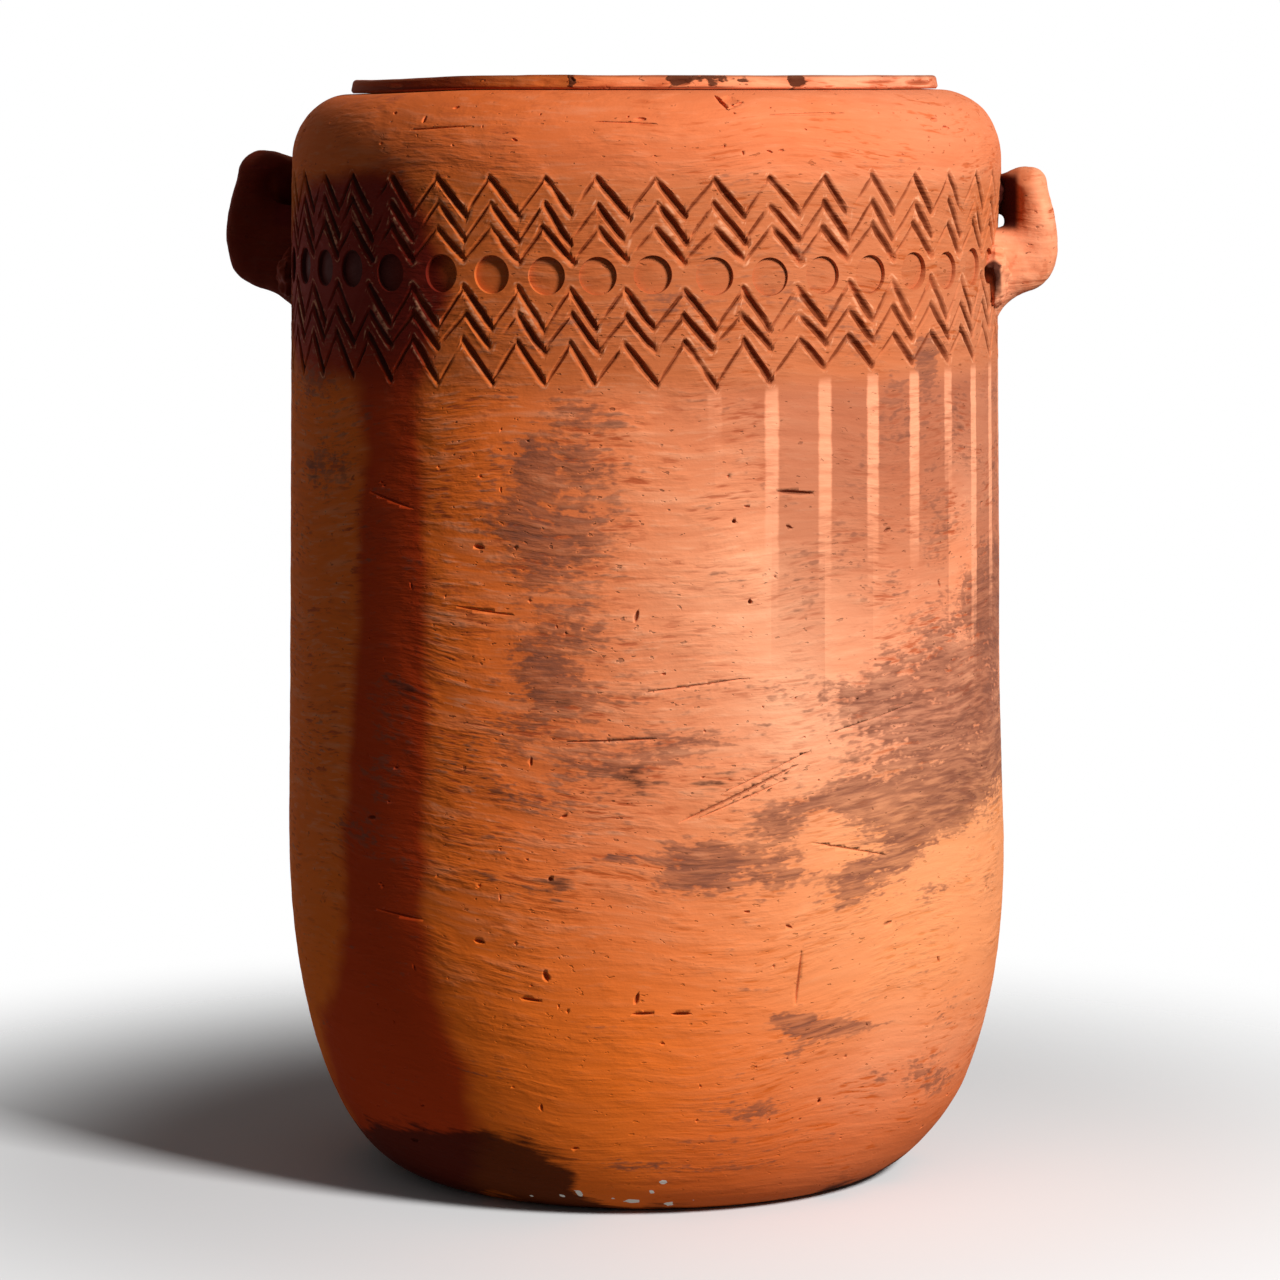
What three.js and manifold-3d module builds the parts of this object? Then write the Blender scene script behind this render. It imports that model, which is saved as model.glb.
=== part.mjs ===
// A tall hand-built terracotta planter, as the sections of clay that a potter builds it from.
// Millimetres, +Z up. The origin is the centre of the underside, and the two handles lie on the X axis.
//
// A rolled slab is the floor. Three ring sections of wall stand on it, each bevelled along its top so
// that the next one sits over it like a socket over a spigot. A shoulder closes the top in, and a low
// collar stands on it as the rim. The upper wall is carved with a band of zigzag cuts round a row of
// stamped discs. Each loop handle is a thick coil bent into an ear, with its ends pressed into shallow
// seats in the wall, and a wad of soft clay is luted round each end.

import * as THREE from "three";
import { mergeVertices } from "three/addons/utils/BufferGeometryUtils.js";
import Module from "manifold-3d";

const wasm = await Module();
wasm.setup();

// Heights of the sections, from the ground up
const slabThickness = 18;
const lowerWallHeight = 172;
const middleWallHeight = 200;
const carvedWallHeight = 122;
const shoulderRise = 31;
const collarHeight = 7;

// Outer form
const footRadius = 115;
const bellyRadius = 181.5;
const bellyHeight = 172;
const bowlFullness = 2.1; // exponent of the superellipse that rounds the wall down into the foot
const wallTaper = 4.8; // by which the wall has drawn in where the shoulder starts
const collarRadius = 146.8;
const shoulderSlope = 21; // degrees that the shoulder falls away from the collar

// Clay thicknesses and the joints between sections
const wallThickness = 14;
const collarThickness = 13;
const floorRadius = 108;
const bevelRise = 6; // how much higher the inner edge of a bevelled joint lies than its outer edge
const jointGap = 0.3; // slip between two sections
const collarTaper = 0.7; // by which the collar is narrower at its lip
const edgeRounding = 2; // worn corners of the collar's lip

// Drain hole through the middle of the slab
const drainRadius = 12.5;

// Carved band
const repeats = 40; // zigzag teeth round the pot, with one stamp in each
const zigzagHeight = 17.5;
const linesEachSide = 3; // zigzag lines above the stamps, and as many below
const lineSpacing = 11.6;
const firstLineOffset = 14.8; // from the stamp row to the middle of the nearest line
const stampRowLift = 5.5; // of the stamp row above the middle of the carved wall
const cutWidth = 3.4;
const cutDepth = 2.4;
const stampRadius = 9;
const stampDepth = 2.2;

// Loop handles, each bent by hand, so the two differ. A stand-off is how far a handle stands out from
// the wall, and its top and bottom are heights above the stamp row.
const rightStandOff = 30.7;
const rightTop = 49;
const rightBottom = -21;
const leftStandOff = 37.3;
const leftTop = 56;
const leftBottom = -20;
const handles = [
  { name: "right", turn: 0, standOff: rightStandOff, top: rightTop, bottom: rightBottom },
  { name: "left", turn: Math.PI, standOff: leftStandOff, top: leftTop, bottom: leftBottom },
];
const handleWidth = 25; // round the pot
const gripThickness = 21; // of the upright part, away from the wall
const upperLegThickness = 16;
const lowerLegThickness = 34;
const archDrop = 4.5; // by which the upper leg dips from the top of the arch to the wall
const handleRounding = 7.5; // seen from the side
const handleSideRounding = 9; // seen from the end
const seatDepth = 4; // how far a leg is pressed into the wall
const wadSpread = 5; // clay beyond the leg, on the wall
const wadHeight = 6;
const wadLip = 3.5; // clay beyond the leg at the wad's outer end

// Fineness of the facets
const columns = 2 * repeats;
const bowlSteps = 6;
const shoulderSteps = 5;
const stampSides = 12;
const handleCurveSteps = 5;
const handleBevelSteps = 3;
const wadSides = 24;
const drainSides = 20;

// Radius and heights that follow from the sizes above
const upperRadius = bellyRadius - wallTaper;
const lowerSeam = slabThickness + lowerWallHeight;
const middleSeam = lowerSeam + middleWallHeight;
const upperSeam = middleSeam + carvedWallHeight;
const collarSeam = upperSeam + shoulderRise;
const overallHeight = collarSeam + collarHeight;
const stampRow = middleSeam + carvedWallHeight / 2 + stampRowLift;

// The outside of the pot below the shoulder, as a radius at a height.
function outerRadius(z) {
  if (z < bellyHeight) {
    const drop = (bellyHeight - z) / bellyHeight;
    const swell = (1 - drop ** bowlFullness) ** (1 / bowlFullness);
    return footRadius + (bellyRadius - footRadius) * swell;
  }
  const climb = (z - bellyHeight) / (upperSeam - bellyHeight);
  return THREE.MathUtils.lerp(bellyRadius, upperRadius, Math.min(climb, 1));
}

// The inside of the pot below the shoulder.
function innerRadius(z) {
  if (z < bellyHeight) {
    const drop = (bellyHeight - z) / (bellyHeight - slabThickness);
    const swell = (1 - Math.min(drop, 1) ** bowlFullness) ** (1 / bowlFullness);
    return floorRadius + (bellyRadius - wallThickness - floorRadius) * swell;
  }
  return outerRadius(z) - wallThickness;
}

// A curve over the shoulder, from the wall up to the collar, as [radius, height] points.
function shoulderCurve(wallRadius, neckRadius, bottom, top, steps) {
  const fall = THREE.MathUtils.degToRad(shoulderSlope);
  const reach = 0.8 * (wallRadius - neckRadius);
  const curve = new THREE.CubicBezierCurve(
    new THREE.Vector2(wallRadius, bottom),
    new THREE.Vector2(wallRadius, bottom + 0.8 * (top - bottom)),
    new THREE.Vector2(neckRadius + reach * Math.cos(fall), top - reach * Math.sin(fall)),
    new THREE.Vector2(neckRadius, top),
  );
  return curve.getPoints(steps).map((p) => [p.x, p.y]);
}

// Heights from one to another, the closest together at the lower end.
function heights(from, to, steps, crowding = 1) {
  return Array.from({ length: steps + 1 }, (_, i) => from + (to - from) * (i / steps) ** crowding);
}

// A ring or disc turned from a profile of [radius, height] points that runs anticlockwise.
// A third number in a point sways it up at every tooth of the zigzag and down between them.
function turned(profile) {
  const closed = [...profile, profile[0]];
  const points = closed.map(([radius, height]) => new THREE.Vector2(radius, height));
  const geometry = new THREE.LatheGeometry(points, columns);
  const position = geometry.getAttribute("position");
  for (let i = 0; i < position.count; i++) {
    const sway = closed[i % closed.length][2] ?? 0;
    const column = Math.floor(i / closed.length);
    position.setY(i, position.getY(i) + (column % 2 === 0 ? sway : -sway));
  }
  return geometry.rotateX(Math.PI / 2);
}

// three.js geometry as a solid that can be cut and joined, and back again.
function solidOf(geometry) {
  const bare = geometry.clone();
  bare.deleteAttribute("normal");
  bare.deleteAttribute("uv");
  const merged = mergeVertices(bare, 1e-3);
  const vertProperties = new Float32Array(merged.getAttribute("position").array);
  const triVerts = new Uint32Array(merged.index.array);
  return new wasm.Manifold(new wasm.Mesh({ numProp: 3, vertProperties, triVerts }));
}

function geometryOf(solid) {
  const mesh = solid.getMesh();
  const geometry = new THREE.BufferGeometry();
  geometry.setAttribute("position", new THREE.BufferAttribute(mesh.vertProperties, 3));
  geometry.setIndex(new THREE.BufferAttribute(mesh.triVerts, 1));
  geometry.computeVertexNormals();
  return geometry;
}

// One finish for each kind of clay surface
const wallClay = new THREE.MeshStandardMaterial({ color: 0xc9754a, roughness: 0.85, metalness: 0 });
const bandClay = new THREE.MeshStandardMaterial({ color: 0xc06f45, roughness: 0.88, metalness: 0 });
const rimClay = new THREE.MeshStandardMaterial({ color: 0xbd7049, roughness: 0.9, metalness: 0 });
const handleClay = new THREE.MeshStandardMaterial({ color: 0xc67450, roughness: 0.88, metalness: 0 });
const slabClay = new THREE.MeshStandardMaterial({ color: 0xa85f3c, roughness: 0.92, metalness: 0 });

const planter = new THREE.Group();

function place(name, solid, material) {
  const mesh = new THREE.Mesh(geometryOf(solid), material);
  mesh.name = name;
  planter.add(mesh);
}

// Floor slab: a flat disc whose edge already curves up and out, with the drain hole through it
function floorSlab() {
  const edge = heights(0, slabThickness, 4, 1.6).map((z) => [outerRadius(z), z]);
  const slab = solidOf(turned([[0, 0], ...edge, [0, slabThickness]]));
  const drill = new THREE.CylinderGeometry(drainRadius, drainRadius, 3 * slabThickness, drainSides);
  return slab.subtract(solidOf(drill.rotateX(Math.PI / 2)));
}

// One ring of wall between two seams. Its top is bevelled up towards the inside, and its foot has the
// same bevel cut into it, so that it sits over the ring below.
function wallRing(bottom, top, outerPoints, innerPoints, bottomBevel = bevelRise) {
  const foot = bottom + jointGap;
  const outer = outerPoints.filter(([, z]) => z > foot + 0.5 && z < top - 0.5);
  const inner = innerPoints.filter(([, z]) => z > foot + bottomBevel + 0.5 && z < top + bevelRise - 0.5);
  return [
    [innerRadius(foot + bottomBevel), foot + bottomBevel],
    [outerRadius(foot), foot],
    ...outer,
    [outerRadius(top), top],
    [innerRadius(top + bevelRise), top + bevelRise],
    ...inner.reverse(),
  ];
}

// Lower wall: the round-bottomed ring that stands on the slab
function lowerWall() {
  const outer = heights(slabThickness, lowerSeam, bowlSteps, 1.5).map((z) => [outerRadius(z), z]);
  const inner = heights(slabThickness, lowerSeam, bowlSteps, 1.9).map((z) => [innerRadius(z), z]);
  return solidOf(turned(wallRing(slabThickness, lowerSeam, outer, inner, 0)));
}

// Middle wall: the plain, slightly tapering ring
function middleWall() {
  return solidOf(turned(wallRing(lowerSeam, middleSeam, [], [])));
}

// The three rows of points that make one zigzag cut: its lower edge, its bottom and its upper edge.
function zigzagRows(middle, sway) {
  const toothWidth = (Math.PI * outerRadius(middle)) / repeats;
  const halfCut = (cutWidth / 2) * Math.hypot(1, zigzagHeight / toothWidth);
  return [
    [outerRadius(middle - halfCut), middle - halfCut, sway],
    [outerRadius(middle) - cutDepth, middle, sway],
    [outerRadius(middle + halfCut), middle + halfCut, sway],
  ];
}

// Carved wall: zigzags that point up above the stamps and down below them
function carvedWall() {
  const rows = [];
  for (let line = linesEachSide - 1; line >= 0; line--) {
    rows.push(...zigzagRows(stampRow - firstLineOffset - line * lineSpacing, -zigzagHeight / 2));
  }
  for (let line = 0; line < linesEachSide; line++) {
    rows.push(...zigzagRows(stampRow + firstLineOffset + line * lineSpacing, zigzagHeight / 2));
  }
  let wall = solidOf(turned(wallRing(middleSeam, upperSeam, rows, [])));
  const surface = outerRadius(stampRow);
  for (let i = 0; i < repeats; i++) {
    const stamp = new THREE.CylinderGeometry(stampRadius, stampRadius, 2 * stampDepth, stampSides);
    stamp.rotateZ(-Math.PI / 2);
    stamp.translate(surface, 0, stampRow);
    stamp.rotateZ((i * 2 * Math.PI) / repeats);
    wall = wall.subtract(solidOf(stamp));
  }
  for (const handle of handles) wall = wall.subtract(ear(handle, jointGap));
  return wall;
}

// Shoulder: curves in over the carved wall to a flat seat for the collar
function shoulder() {
  const neckInner = collarRadius - collarThickness;
  const foot = upperSeam + jointGap;
  const wallInner = upperRadius - wallThickness;
  const outer = shoulderCurve(upperRadius, collarRadius, foot, collarSeam, shoulderSteps);
  const innerFoot = foot + bevelRise;
  const innerTop = collarSeam - wallThickness;
  const inner = shoulderCurve(wallInner, neckInner, innerFoot, innerTop, shoulderSteps - 1);
  return solidOf(turned([...outer, [neckInner, collarSeam], ...inner.reverse()]));
}

// Collar: the low coil that stands on the shoulder as the pot's rim
function collar() {
  const inner = collarRadius - collarThickness;
  const foot = collarSeam + jointGap;
  const lip = collarRadius - collarTaper;
  return solidOf(
    turned([
      [inner, foot],
      [collarRadius, foot],
      [lip, overallHeight - edgeRounding],
      [lip - edgeRounding, overallHeight],
      [inner + edgeRounding, overallHeight],
      [inner, overallHeight - edgeRounding],
    ]),
  );
}

// A handle in side view: X is the distance out from the wall and Y is the height above the stamp row.
function earOutline({ standOff, top, bottom }) {
  const rise = top - bottom;
  const widest = bottom + 0.45 * rise;
  const upperRoot = top - archDrop;
  const gapTop = upperRoot - upperLegThickness;
  const gapBottom = bottom + lowerLegThickness;
  const gapWidth = standOff - gripThickness;
  const corner = 0.3 * (gapTop - gapBottom);
  const root = -seatDepth - 1.2 * handleRounding;
  const outline = new THREE.Shape();
  const curve = (...points) => outline.bezierCurveTo(...points);
  outline.moveTo(root, bottom);
  outline.lineTo(0, bottom);
  curve(0.47 * standOff, bottom + 0.06 * rise, standOff, bottom + 0.1 * rise, standOff, widest);
  const shoulderX = 0.82 * standOff;
  const shoulderY = top - 0.13 * rise;
  curve(standOff, widest + 0.16 * rise, 0.86 * standOff, widest + 0.28 * rise, shoulderX, shoulderY);
  curve(0.79 * standOff, top - 0.04 * rise, 0.64 * standOff, top, 0.44 * standOff, top);
  curve(0.24 * standOff, top, 0.17 * standOff, upperRoot, 0, upperRoot);
  outline.lineTo(root, upperRoot);
  outline.lineTo(root, gapTop);
  outline.lineTo(0, gapTop);
  curve(0.8 * gapWidth, gapTop, gapWidth, gapTop - corner, gapWidth, (gapTop + gapBottom) / 2);
  curve(gapWidth, gapBottom + corner, 0.8 * gapWidth, gapBottom, 0, gapBottom);
  outline.lineTo(root, gapBottom);
  return outline;
}

// A handle, rounded all over, with its legs cut back to the round floor of their seats.
// With grow above 0 it is the space that the handle needs.
function ear(handle, grow = 0) {
  const depth = handleWidth - 2 * handleSideRounding + 2 * grow;
  const geometry = new THREE.ExtrudeGeometry(earOutline(handle), {
    depth,
    curveSegments: handleCurveSteps,
    bevelThickness: handleSideRounding,
    bevelSize: handleRounding,
    bevelOffset: grow - handleRounding,
    bevelSegments: handleBevelSteps,
  });
  geometry.translate(0, 0, -depth / 2);
  geometry.rotateX(Math.PI / 2);
  const wall = outerRadius(stampRow);
  geometry.translate(wall, 0, stampRow);
  const seatRadius = wall - seatDepth - grow;
  const core = [[0, lowerSeam], [seatRadius, lowerSeam], [seatRadius, collarSeam], [0, collarSeam]];
  return solidOf(geometry.rotateZ(handle.turn)).subtract(solidOf(turned(core)));
}

// Everything inside the skin of the wall and the shoulder, a joint's gap larger.
function insideOfWall() {
  const wall = heights(lowerSeam, upperSeam, 1).map((z) => [outerRadius(z) + jointGap, z]);
  const over = shoulderCurve(upperRadius, collarRadius, upperSeam, collarSeam, shoulderSteps);
  const skin = over.slice(1).map(([radius, z]) => [radius + jointGap, z]);
  return solidOf(turned([[0, lowerSeam], ...wall, ...skin, [0, collarSeam]]));
}

// A wad of soft clay pressed round the leg of a handle between two heights, flaring on to the wall.
function wad(handle, legBottom, legTop) {
  const halfHeight = (legTop - legBottom) / 2;
  const flare = new THREE.CylinderGeometry(
    halfHeight + wadLip,
    halfHeight + wadSpread,
    wadHeight + seatDepth,
    wadSides,
  );
  flare.rotateZ(-Math.PI / 2);
  flare.scale(1, (handleWidth / 2 + wadSpread) / (halfHeight + wadSpread), 1);
  const wall = outerRadius(stampRow);
  flare.translate(wall + (wadHeight - seatDepth) / 2, 0, stampRow + (legTop + legBottom) / 2);
  flare.rotateZ(handle.turn);
  return solidOf(flare).subtract(ear(handle, jointGap)).subtract(insideOfWall());
}

place("floor_slab", floorSlab(), slabClay);
place("lower_wall", lowerWall(), wallClay);
place("middle_wall", middleWall(), wallClay);
place("carved_wall", carvedWall(), bandClay);
place("shoulder", shoulder(), wallClay);
place("rim_collar", collar(), rimClay);
for (const handle of handles) {
  const upperRoot = handle.top - archDrop;
  const gapTop = upperRoot - upperLegThickness;
  const gapBottom = handle.bottom + lowerLegThickness;
  place(handle.name + "_handle", ear(handle), handleClay);
  place(handle.name + "_upper_wad", wad(handle, gapTop, upperRoot), handleClay);
  place(handle.name + "_lower_wad", wad(handle, handle.bottom, gapBottom), handleClay);
}

export default planter;
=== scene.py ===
"""The finish of a tall hand-built terracotta planter, piece by piece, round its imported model."""
import math
from types import SimpleNamespace

import bmesh
import bpy
import numpy as np
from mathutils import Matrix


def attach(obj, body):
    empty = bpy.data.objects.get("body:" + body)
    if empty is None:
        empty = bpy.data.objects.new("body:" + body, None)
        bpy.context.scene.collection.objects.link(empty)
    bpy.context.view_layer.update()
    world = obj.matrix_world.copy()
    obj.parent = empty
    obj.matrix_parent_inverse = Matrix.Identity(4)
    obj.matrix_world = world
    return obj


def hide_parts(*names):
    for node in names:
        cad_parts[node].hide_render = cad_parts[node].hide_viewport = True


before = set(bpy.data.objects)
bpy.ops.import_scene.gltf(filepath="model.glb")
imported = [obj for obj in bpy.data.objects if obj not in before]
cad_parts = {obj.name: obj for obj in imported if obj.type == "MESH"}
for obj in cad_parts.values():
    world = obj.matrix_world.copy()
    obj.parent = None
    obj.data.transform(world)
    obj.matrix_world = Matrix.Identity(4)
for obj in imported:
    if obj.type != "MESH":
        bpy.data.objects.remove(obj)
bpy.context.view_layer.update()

# Floor slab: a rolled disc of clay that the pot stands on, with a drain hole cut through its middle.
# Its edge already curves up into the wall. Damp has stained that edge dark, and lime has splashed it.
mm = 0.001
foot_radius = 115 * mm
belly_radius = 181.2 * mm
belly_height = 172 * mm
bowl_fullness = 2.1
upper_radius = 176.8 * mm
shoulder_start = 507 * mm
shoulder_height = 35.5 * mm
neck_radius = 148.1 * mm
slab_thickness = 18 * mm
drain_radius = 12.5 * mm
columns = 640  # points round a wall
slab_columns = 360
row_spacing = 1.9 * mm
inside_spacing = 10 * mm
front = math.radians(-82.5)  # the angle, from +X, of the side that is seen first


def outer_radius(z):
    """Radius of the outside at a height: a rounded foot, a wall that draws in, and the shoulder."""
    if z < belly_height:
        drop = (belly_height - z) / belly_height
        swell = (1 - drop**bowl_fullness) ** (1 / bowl_fullness)
        return foot_radius + (belly_radius - foot_radius) * swell
    climb = min(1.0, (z - belly_height) / (shoulder_start - belly_height))
    wall = belly_radius + (upper_radius - belly_radius) * climb
    over = max(0.0, z - shoulder_start) / shoulder_height
    return wall - (upper_radius - neck_radius) * (1 - math.sqrt(max(0.0, 1 - over**2)))


def spaced(points, spacing):
    """Evenly spaced points along a line of points, with both its ends."""
    points = np.array(points, float)
    lengths = np.concatenate([[0], np.cumsum(np.linalg.norm(np.diff(points, axis=0), axis=1))])
    marks = np.linspace(0, lengths[-1], max(1, round(lengths[-1] / spacing)) + 1)
    return [tuple(np.interp(marks, lengths, column)[i] for column in points.T) for i in range(len(marks))]


def outer_line(low, high):
    """The outside between two heights, as points of radius and height."""
    return spaced([(outer_radius(z), z) for z in np.linspace(low, high, 400)], row_spacing)


def mesh_object(name, vertices, edges, faces, **numbers):
    """An object with a mesh and a number on each vertex for every keyword."""
    mesh = bpy.data.meshes.new(name)
    mesh.from_pydata([tuple(map(float, v)) for v in vertices], edges, faces)
    for label, values in numbers.items():
        attribute = mesh.attributes.new(label, "FLOAT", "POINT")
        attribute.data.foreach_set("value", np.array(values, np.float32))
    piece = bpy.data.objects.new(name, mesh)
    bpy.context.scene.collection.objects.link(piece)
    return piece


def closed_line(name, *stretches):
    """The section through a ring, anticlockwise, from stretches of (face, points) that join at corners."""
    rows = []
    for index, (face, points) in enumerate(stretches):
        before = stretches[index - 1][0]
        for step, (radius, height) in enumerate(points[:-1]):
            corner = float(step == 0)
            skin = float(face == "skin" or (corner and before == "skin"))
            rows.append((radius, height, skin, float(face == "inside" and not corner), corner))
    count = len(rows)
    radius, height, skin, inside, corner = zip(*rows)
    return mesh_object(
        name,
        [(r, 0, z) for r, z in zip(radius, height)],
        [(i, (i + 1) % count) for i in range(count)],
        [],
        from_axis=radius,
        height=height,
        skin=skin,
        inside=inside,
        corner=corner,
    )


class Wire:
    """A socket in a node tree, or the tree alone. Sums on wires add the Math nodes that work them out."""

    def __init__(self, tree, socket=None):
        self.tree = tree
        self.socket = socket

    def node(self, kind, settings=None, values=None, out=0):
        """Adds any other node: its settings first, then the values or wires of its sockets."""
        made = self.tree.nodes.new(kind)
        for label, value in (settings or {}).items():
            setattr(made, label, value)
        for label, value in (values or {}).items():
            if isinstance(value, Wire):
                self.tree.links.new(value.socket, made.inputs[label])
            else:
                made.inputs[label].default_value = value
        return Wire(self.tree, made.outputs[out] if made.outputs else None)

    def math(self, operation, *others):
        """Any Math node, worked on this wire and others."""
        return self.node("ShaderNodeMath", {"operation": operation}, dict(enumerate((self, *others))))

    def __add__(self, other):
        return self.math("ADD", other)

    def __radd__(self, other):
        return self.math("ADD", other)

    def __sub__(self, other):
        return self.math("SUBTRACT", other)

    def __rsub__(self, other):
        return self.node("ShaderNodeMath", {"operation": "SUBTRACT"}, {0: other, 1: self})

    def __mul__(self, other):
        return self.math("MULTIPLY", other)

    def __rmul__(self, other):
        return self.math("MULTIPLY", other)

    def __truediv__(self, other):
        return self.math("DIVIDE", other)

    def __pow__(self, other):
        return self.math("POWER", other)

    def rising(self, low, high):
        """0 up to one value and 1 from another, with a smooth rise between; falling if low is above high."""
        values = {"Value": self, "From Min": low, "From Max": high}
        return self.node("ShaderNodeMapRange", {"interpolation_type": "SMOOTHSTEP"}, values)

    def vector(self, operation, other, out=0):
        """Any Vector Math node, worked on this vector and another."""
        return self.node("ShaderNodeVectorMath", {"operation": operation}, {0: self, 1: other}, out)

    def scaled(self, factor):
        """This vector times a number."""
        return self.node("ShaderNodeVectorMath", {"operation": "SCALE"}, {0: self, "Scale": factor})

    def combined(self, **sides):
        """A vector from its X, Y and Z, in this wire's tree. A side that isn't given is 0."""
        return self.node("ShaderNodeCombineXYZ", {}, sides)

    def noise(self, around, up, detail=2.0, shift=0.0):
        """Noise at this place, with so many patches to the metre round the pot, and so many up it."""
        values = {0: self, 1: (around, around, up), 2: (shift, shift, shift)}
        place = self.node("ShaderNodeVectorMath", {"operation": "MULTIPLY_ADD"}, values)
        return self.node("ShaderNodeTexNoise", {}, {"Vector": place, "Scale": 1.0, "Detail": detail})

    def parts(self):
        """The X, Y and Z of this vector."""
        return [self.node("ShaderNodeSeparateXYZ", {}, {0: self}, out) for out in range(3)]

    def under(self, colour, share):
        """This colour with another laid over it, by a share from 0 to 1."""
        return self.mixing(share, self, colour)

    def mixing(self, share, under, over):
        """Two colours mixed in this wire's tree, by the second one's share."""
        return self.node("ShaderNodeMix", {"data_type": "RGBA"}, {0: share, 6: under, 7: over}, 2)


def new_tree(name, sizes):
    """A geometry tree with named inputs: the mesh, and a kind and a start value for each size."""
    tree = bpy.data.node_groups.new(name, "GeometryNodeTree")
    tree.interface.new_socket("Geometry", in_out="OUTPUT", socket_type="NodeSocketGeometry")
    tree.interface.new_socket("Geometry", in_out="INPUT", socket_type="NodeSocketGeometry")
    for label, (kind, start) in sizes.items():
        socket = tree.interface.new_socket(label, in_out="INPUT", socket_type="NodeSocket" + kind)
        if start is not None:
            socket.default_value = start
    given = tree.nodes.new("NodeGroupInput")
    return Wire(tree), {label: Wire(tree, given.outputs[label]) for label in ("Geometry", *sizes)}


def close_tree(shape, material):
    """Ends a tree: real geometry, smooth faces and its clay."""
    shape = shape.node("GeometryNodeRealizeInstances", {}, {0: shape})
    shape = shape.node("GeometryNodeSetShadeSmooth", {}, {"Geometry": shape, "Shade Smooth": True})
    shape = shape.node("GeometryNodeSetMaterial", {}, {"Geometry": shape, "Material": material})
    end = shape.tree.nodes.new("NodeGroupOutput")
    shape.tree.links.new(shape.socket, end.inputs[0])


def plain(piece, tree, **sizes):
    """Runs a tree on a piece with the sizes given, and leaves the result as a plain mesh."""
    modifier = piece.modifiers.new("shaping", "NODES")
    modifier.node_group = tree
    for item in tree.interface.items_tree:
        label = item.name.lower().replace(" ", "_")
        if item.in_out == "INPUT" and label in sizes:
            modifier[item.identifier] = sizes[label]
    return applied(piece)


def applied(piece):
    """Leaves a piece's modifiers in its mesh."""
    bpy.context.view_layer.update()
    graph = bpy.context.evaluated_depsgraph_get()
    done = piece.evaluated_get(graph)
    mesh = bpy.data.meshes.new_from_object(done, preserve_all_data_layers=True, depsgraph=graph)
    piece.modifiers.clear()
    piece.data = mesh
    mesh.name = piece.name
    return piece


def number(wire, label):
    """A number stored on each point of a mesh."""
    return wire.node("GeometryNodeInputNamedAttribute", {"data_type": "FLOAT"}, {"Name": label})


def stored(shape, label, value, kind="FLOAT", domain="POINT"):
    """Stores a value on the points or the edges of a mesh."""
    settings = {"data_type": kind, "domain": domain}
    values = {"Geometry": shape, "Name": label, "Value": value}
    return shape.node("GeometryNodeStoreNamedAttribute", settings, values)


def sharpened(shape, value, limit):
    """Marks the edges where a value is above a limit as sharp."""
    above = shape.node("FunctionNodeCompare", {"operation": "GREATER_THAN"}, {0: value, 1: limit})
    return stored(shape, "sharp_edge", above, "BOOLEAN", "EDGE")


def swept(wire, line, columns):
    """Sweeps a closed line round a circle. Each point then knows its column round the pot."""
    line = wire.node("GeometryNodeMeshToCurve", {}, {"Mesh": line})
    circle = wire.node("GeometryNodeCurvePrimitiveCircle", {}, {"Resolution": columns, "Radius": 1.0})
    index = wire.node("GeometryNodeInputIndex")
    circle = stored(circle, "column", index)
    return wire.node("GeometryNodeCurveToMesh", {}, {"Curve": circle, "Profile Curve": line})


def moved(shape, place=None, offset=None):
    """Puts the points of a mesh in a place, or moves them by an offset."""
    values = {"Geometry": shape}
    if place is not None:
        values["Position"] = place
    if offset is not None:
        values["Offset"] = offset
    return shape.node("GeometryNodeSetPosition", {}, values)


def on_pot(radius, angle, height):
    """A place from its distance from the axis, its angle and its height."""
    return angle.combined(X=radius * angle.math("COSINE"), Y=radius * angle.math("SINE"), Z=height)


def wall_at(z):
    """The radius of the outside at a height, as outer_radius gives it."""
    drop = ((belly_height - z) / belly_height).math("MAXIMUM", 0.0)
    swell = (1 - drop**bowl_fullness) ** (1 / bowl_fullness)
    climb = ((z - belly_height) / (shoulder_start - belly_height)).math("MAXIMUM", 0.0).math("MINIMUM", 1.0)
    over = ((z - shoulder_start) / shoulder_height).math("MAXIMUM", 0.0).math("MINIMUM", 1.0)
    drawn_in = (1 - (1 - over * over).math("SQRT")) * (upper_radius - neck_radius)
    wall = foot_radius + swell * (belly_radius - foot_radius) + climb * (upper_radius - belly_radius)
    return wall - drawn_in


def chance(identity, low, high, seed):
    """A number between two others that is always the same for the same identity."""
    values = {2: low, 3: high, "ID": identity, "Seed": seed}
    return identity.node("FunctionNodeRandomValue", {"data_type": "FLOAT"}, values, 1)


def between(low, high, share):
    """The value a share of the way from one to another."""
    return low + (high - low) * share


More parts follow.
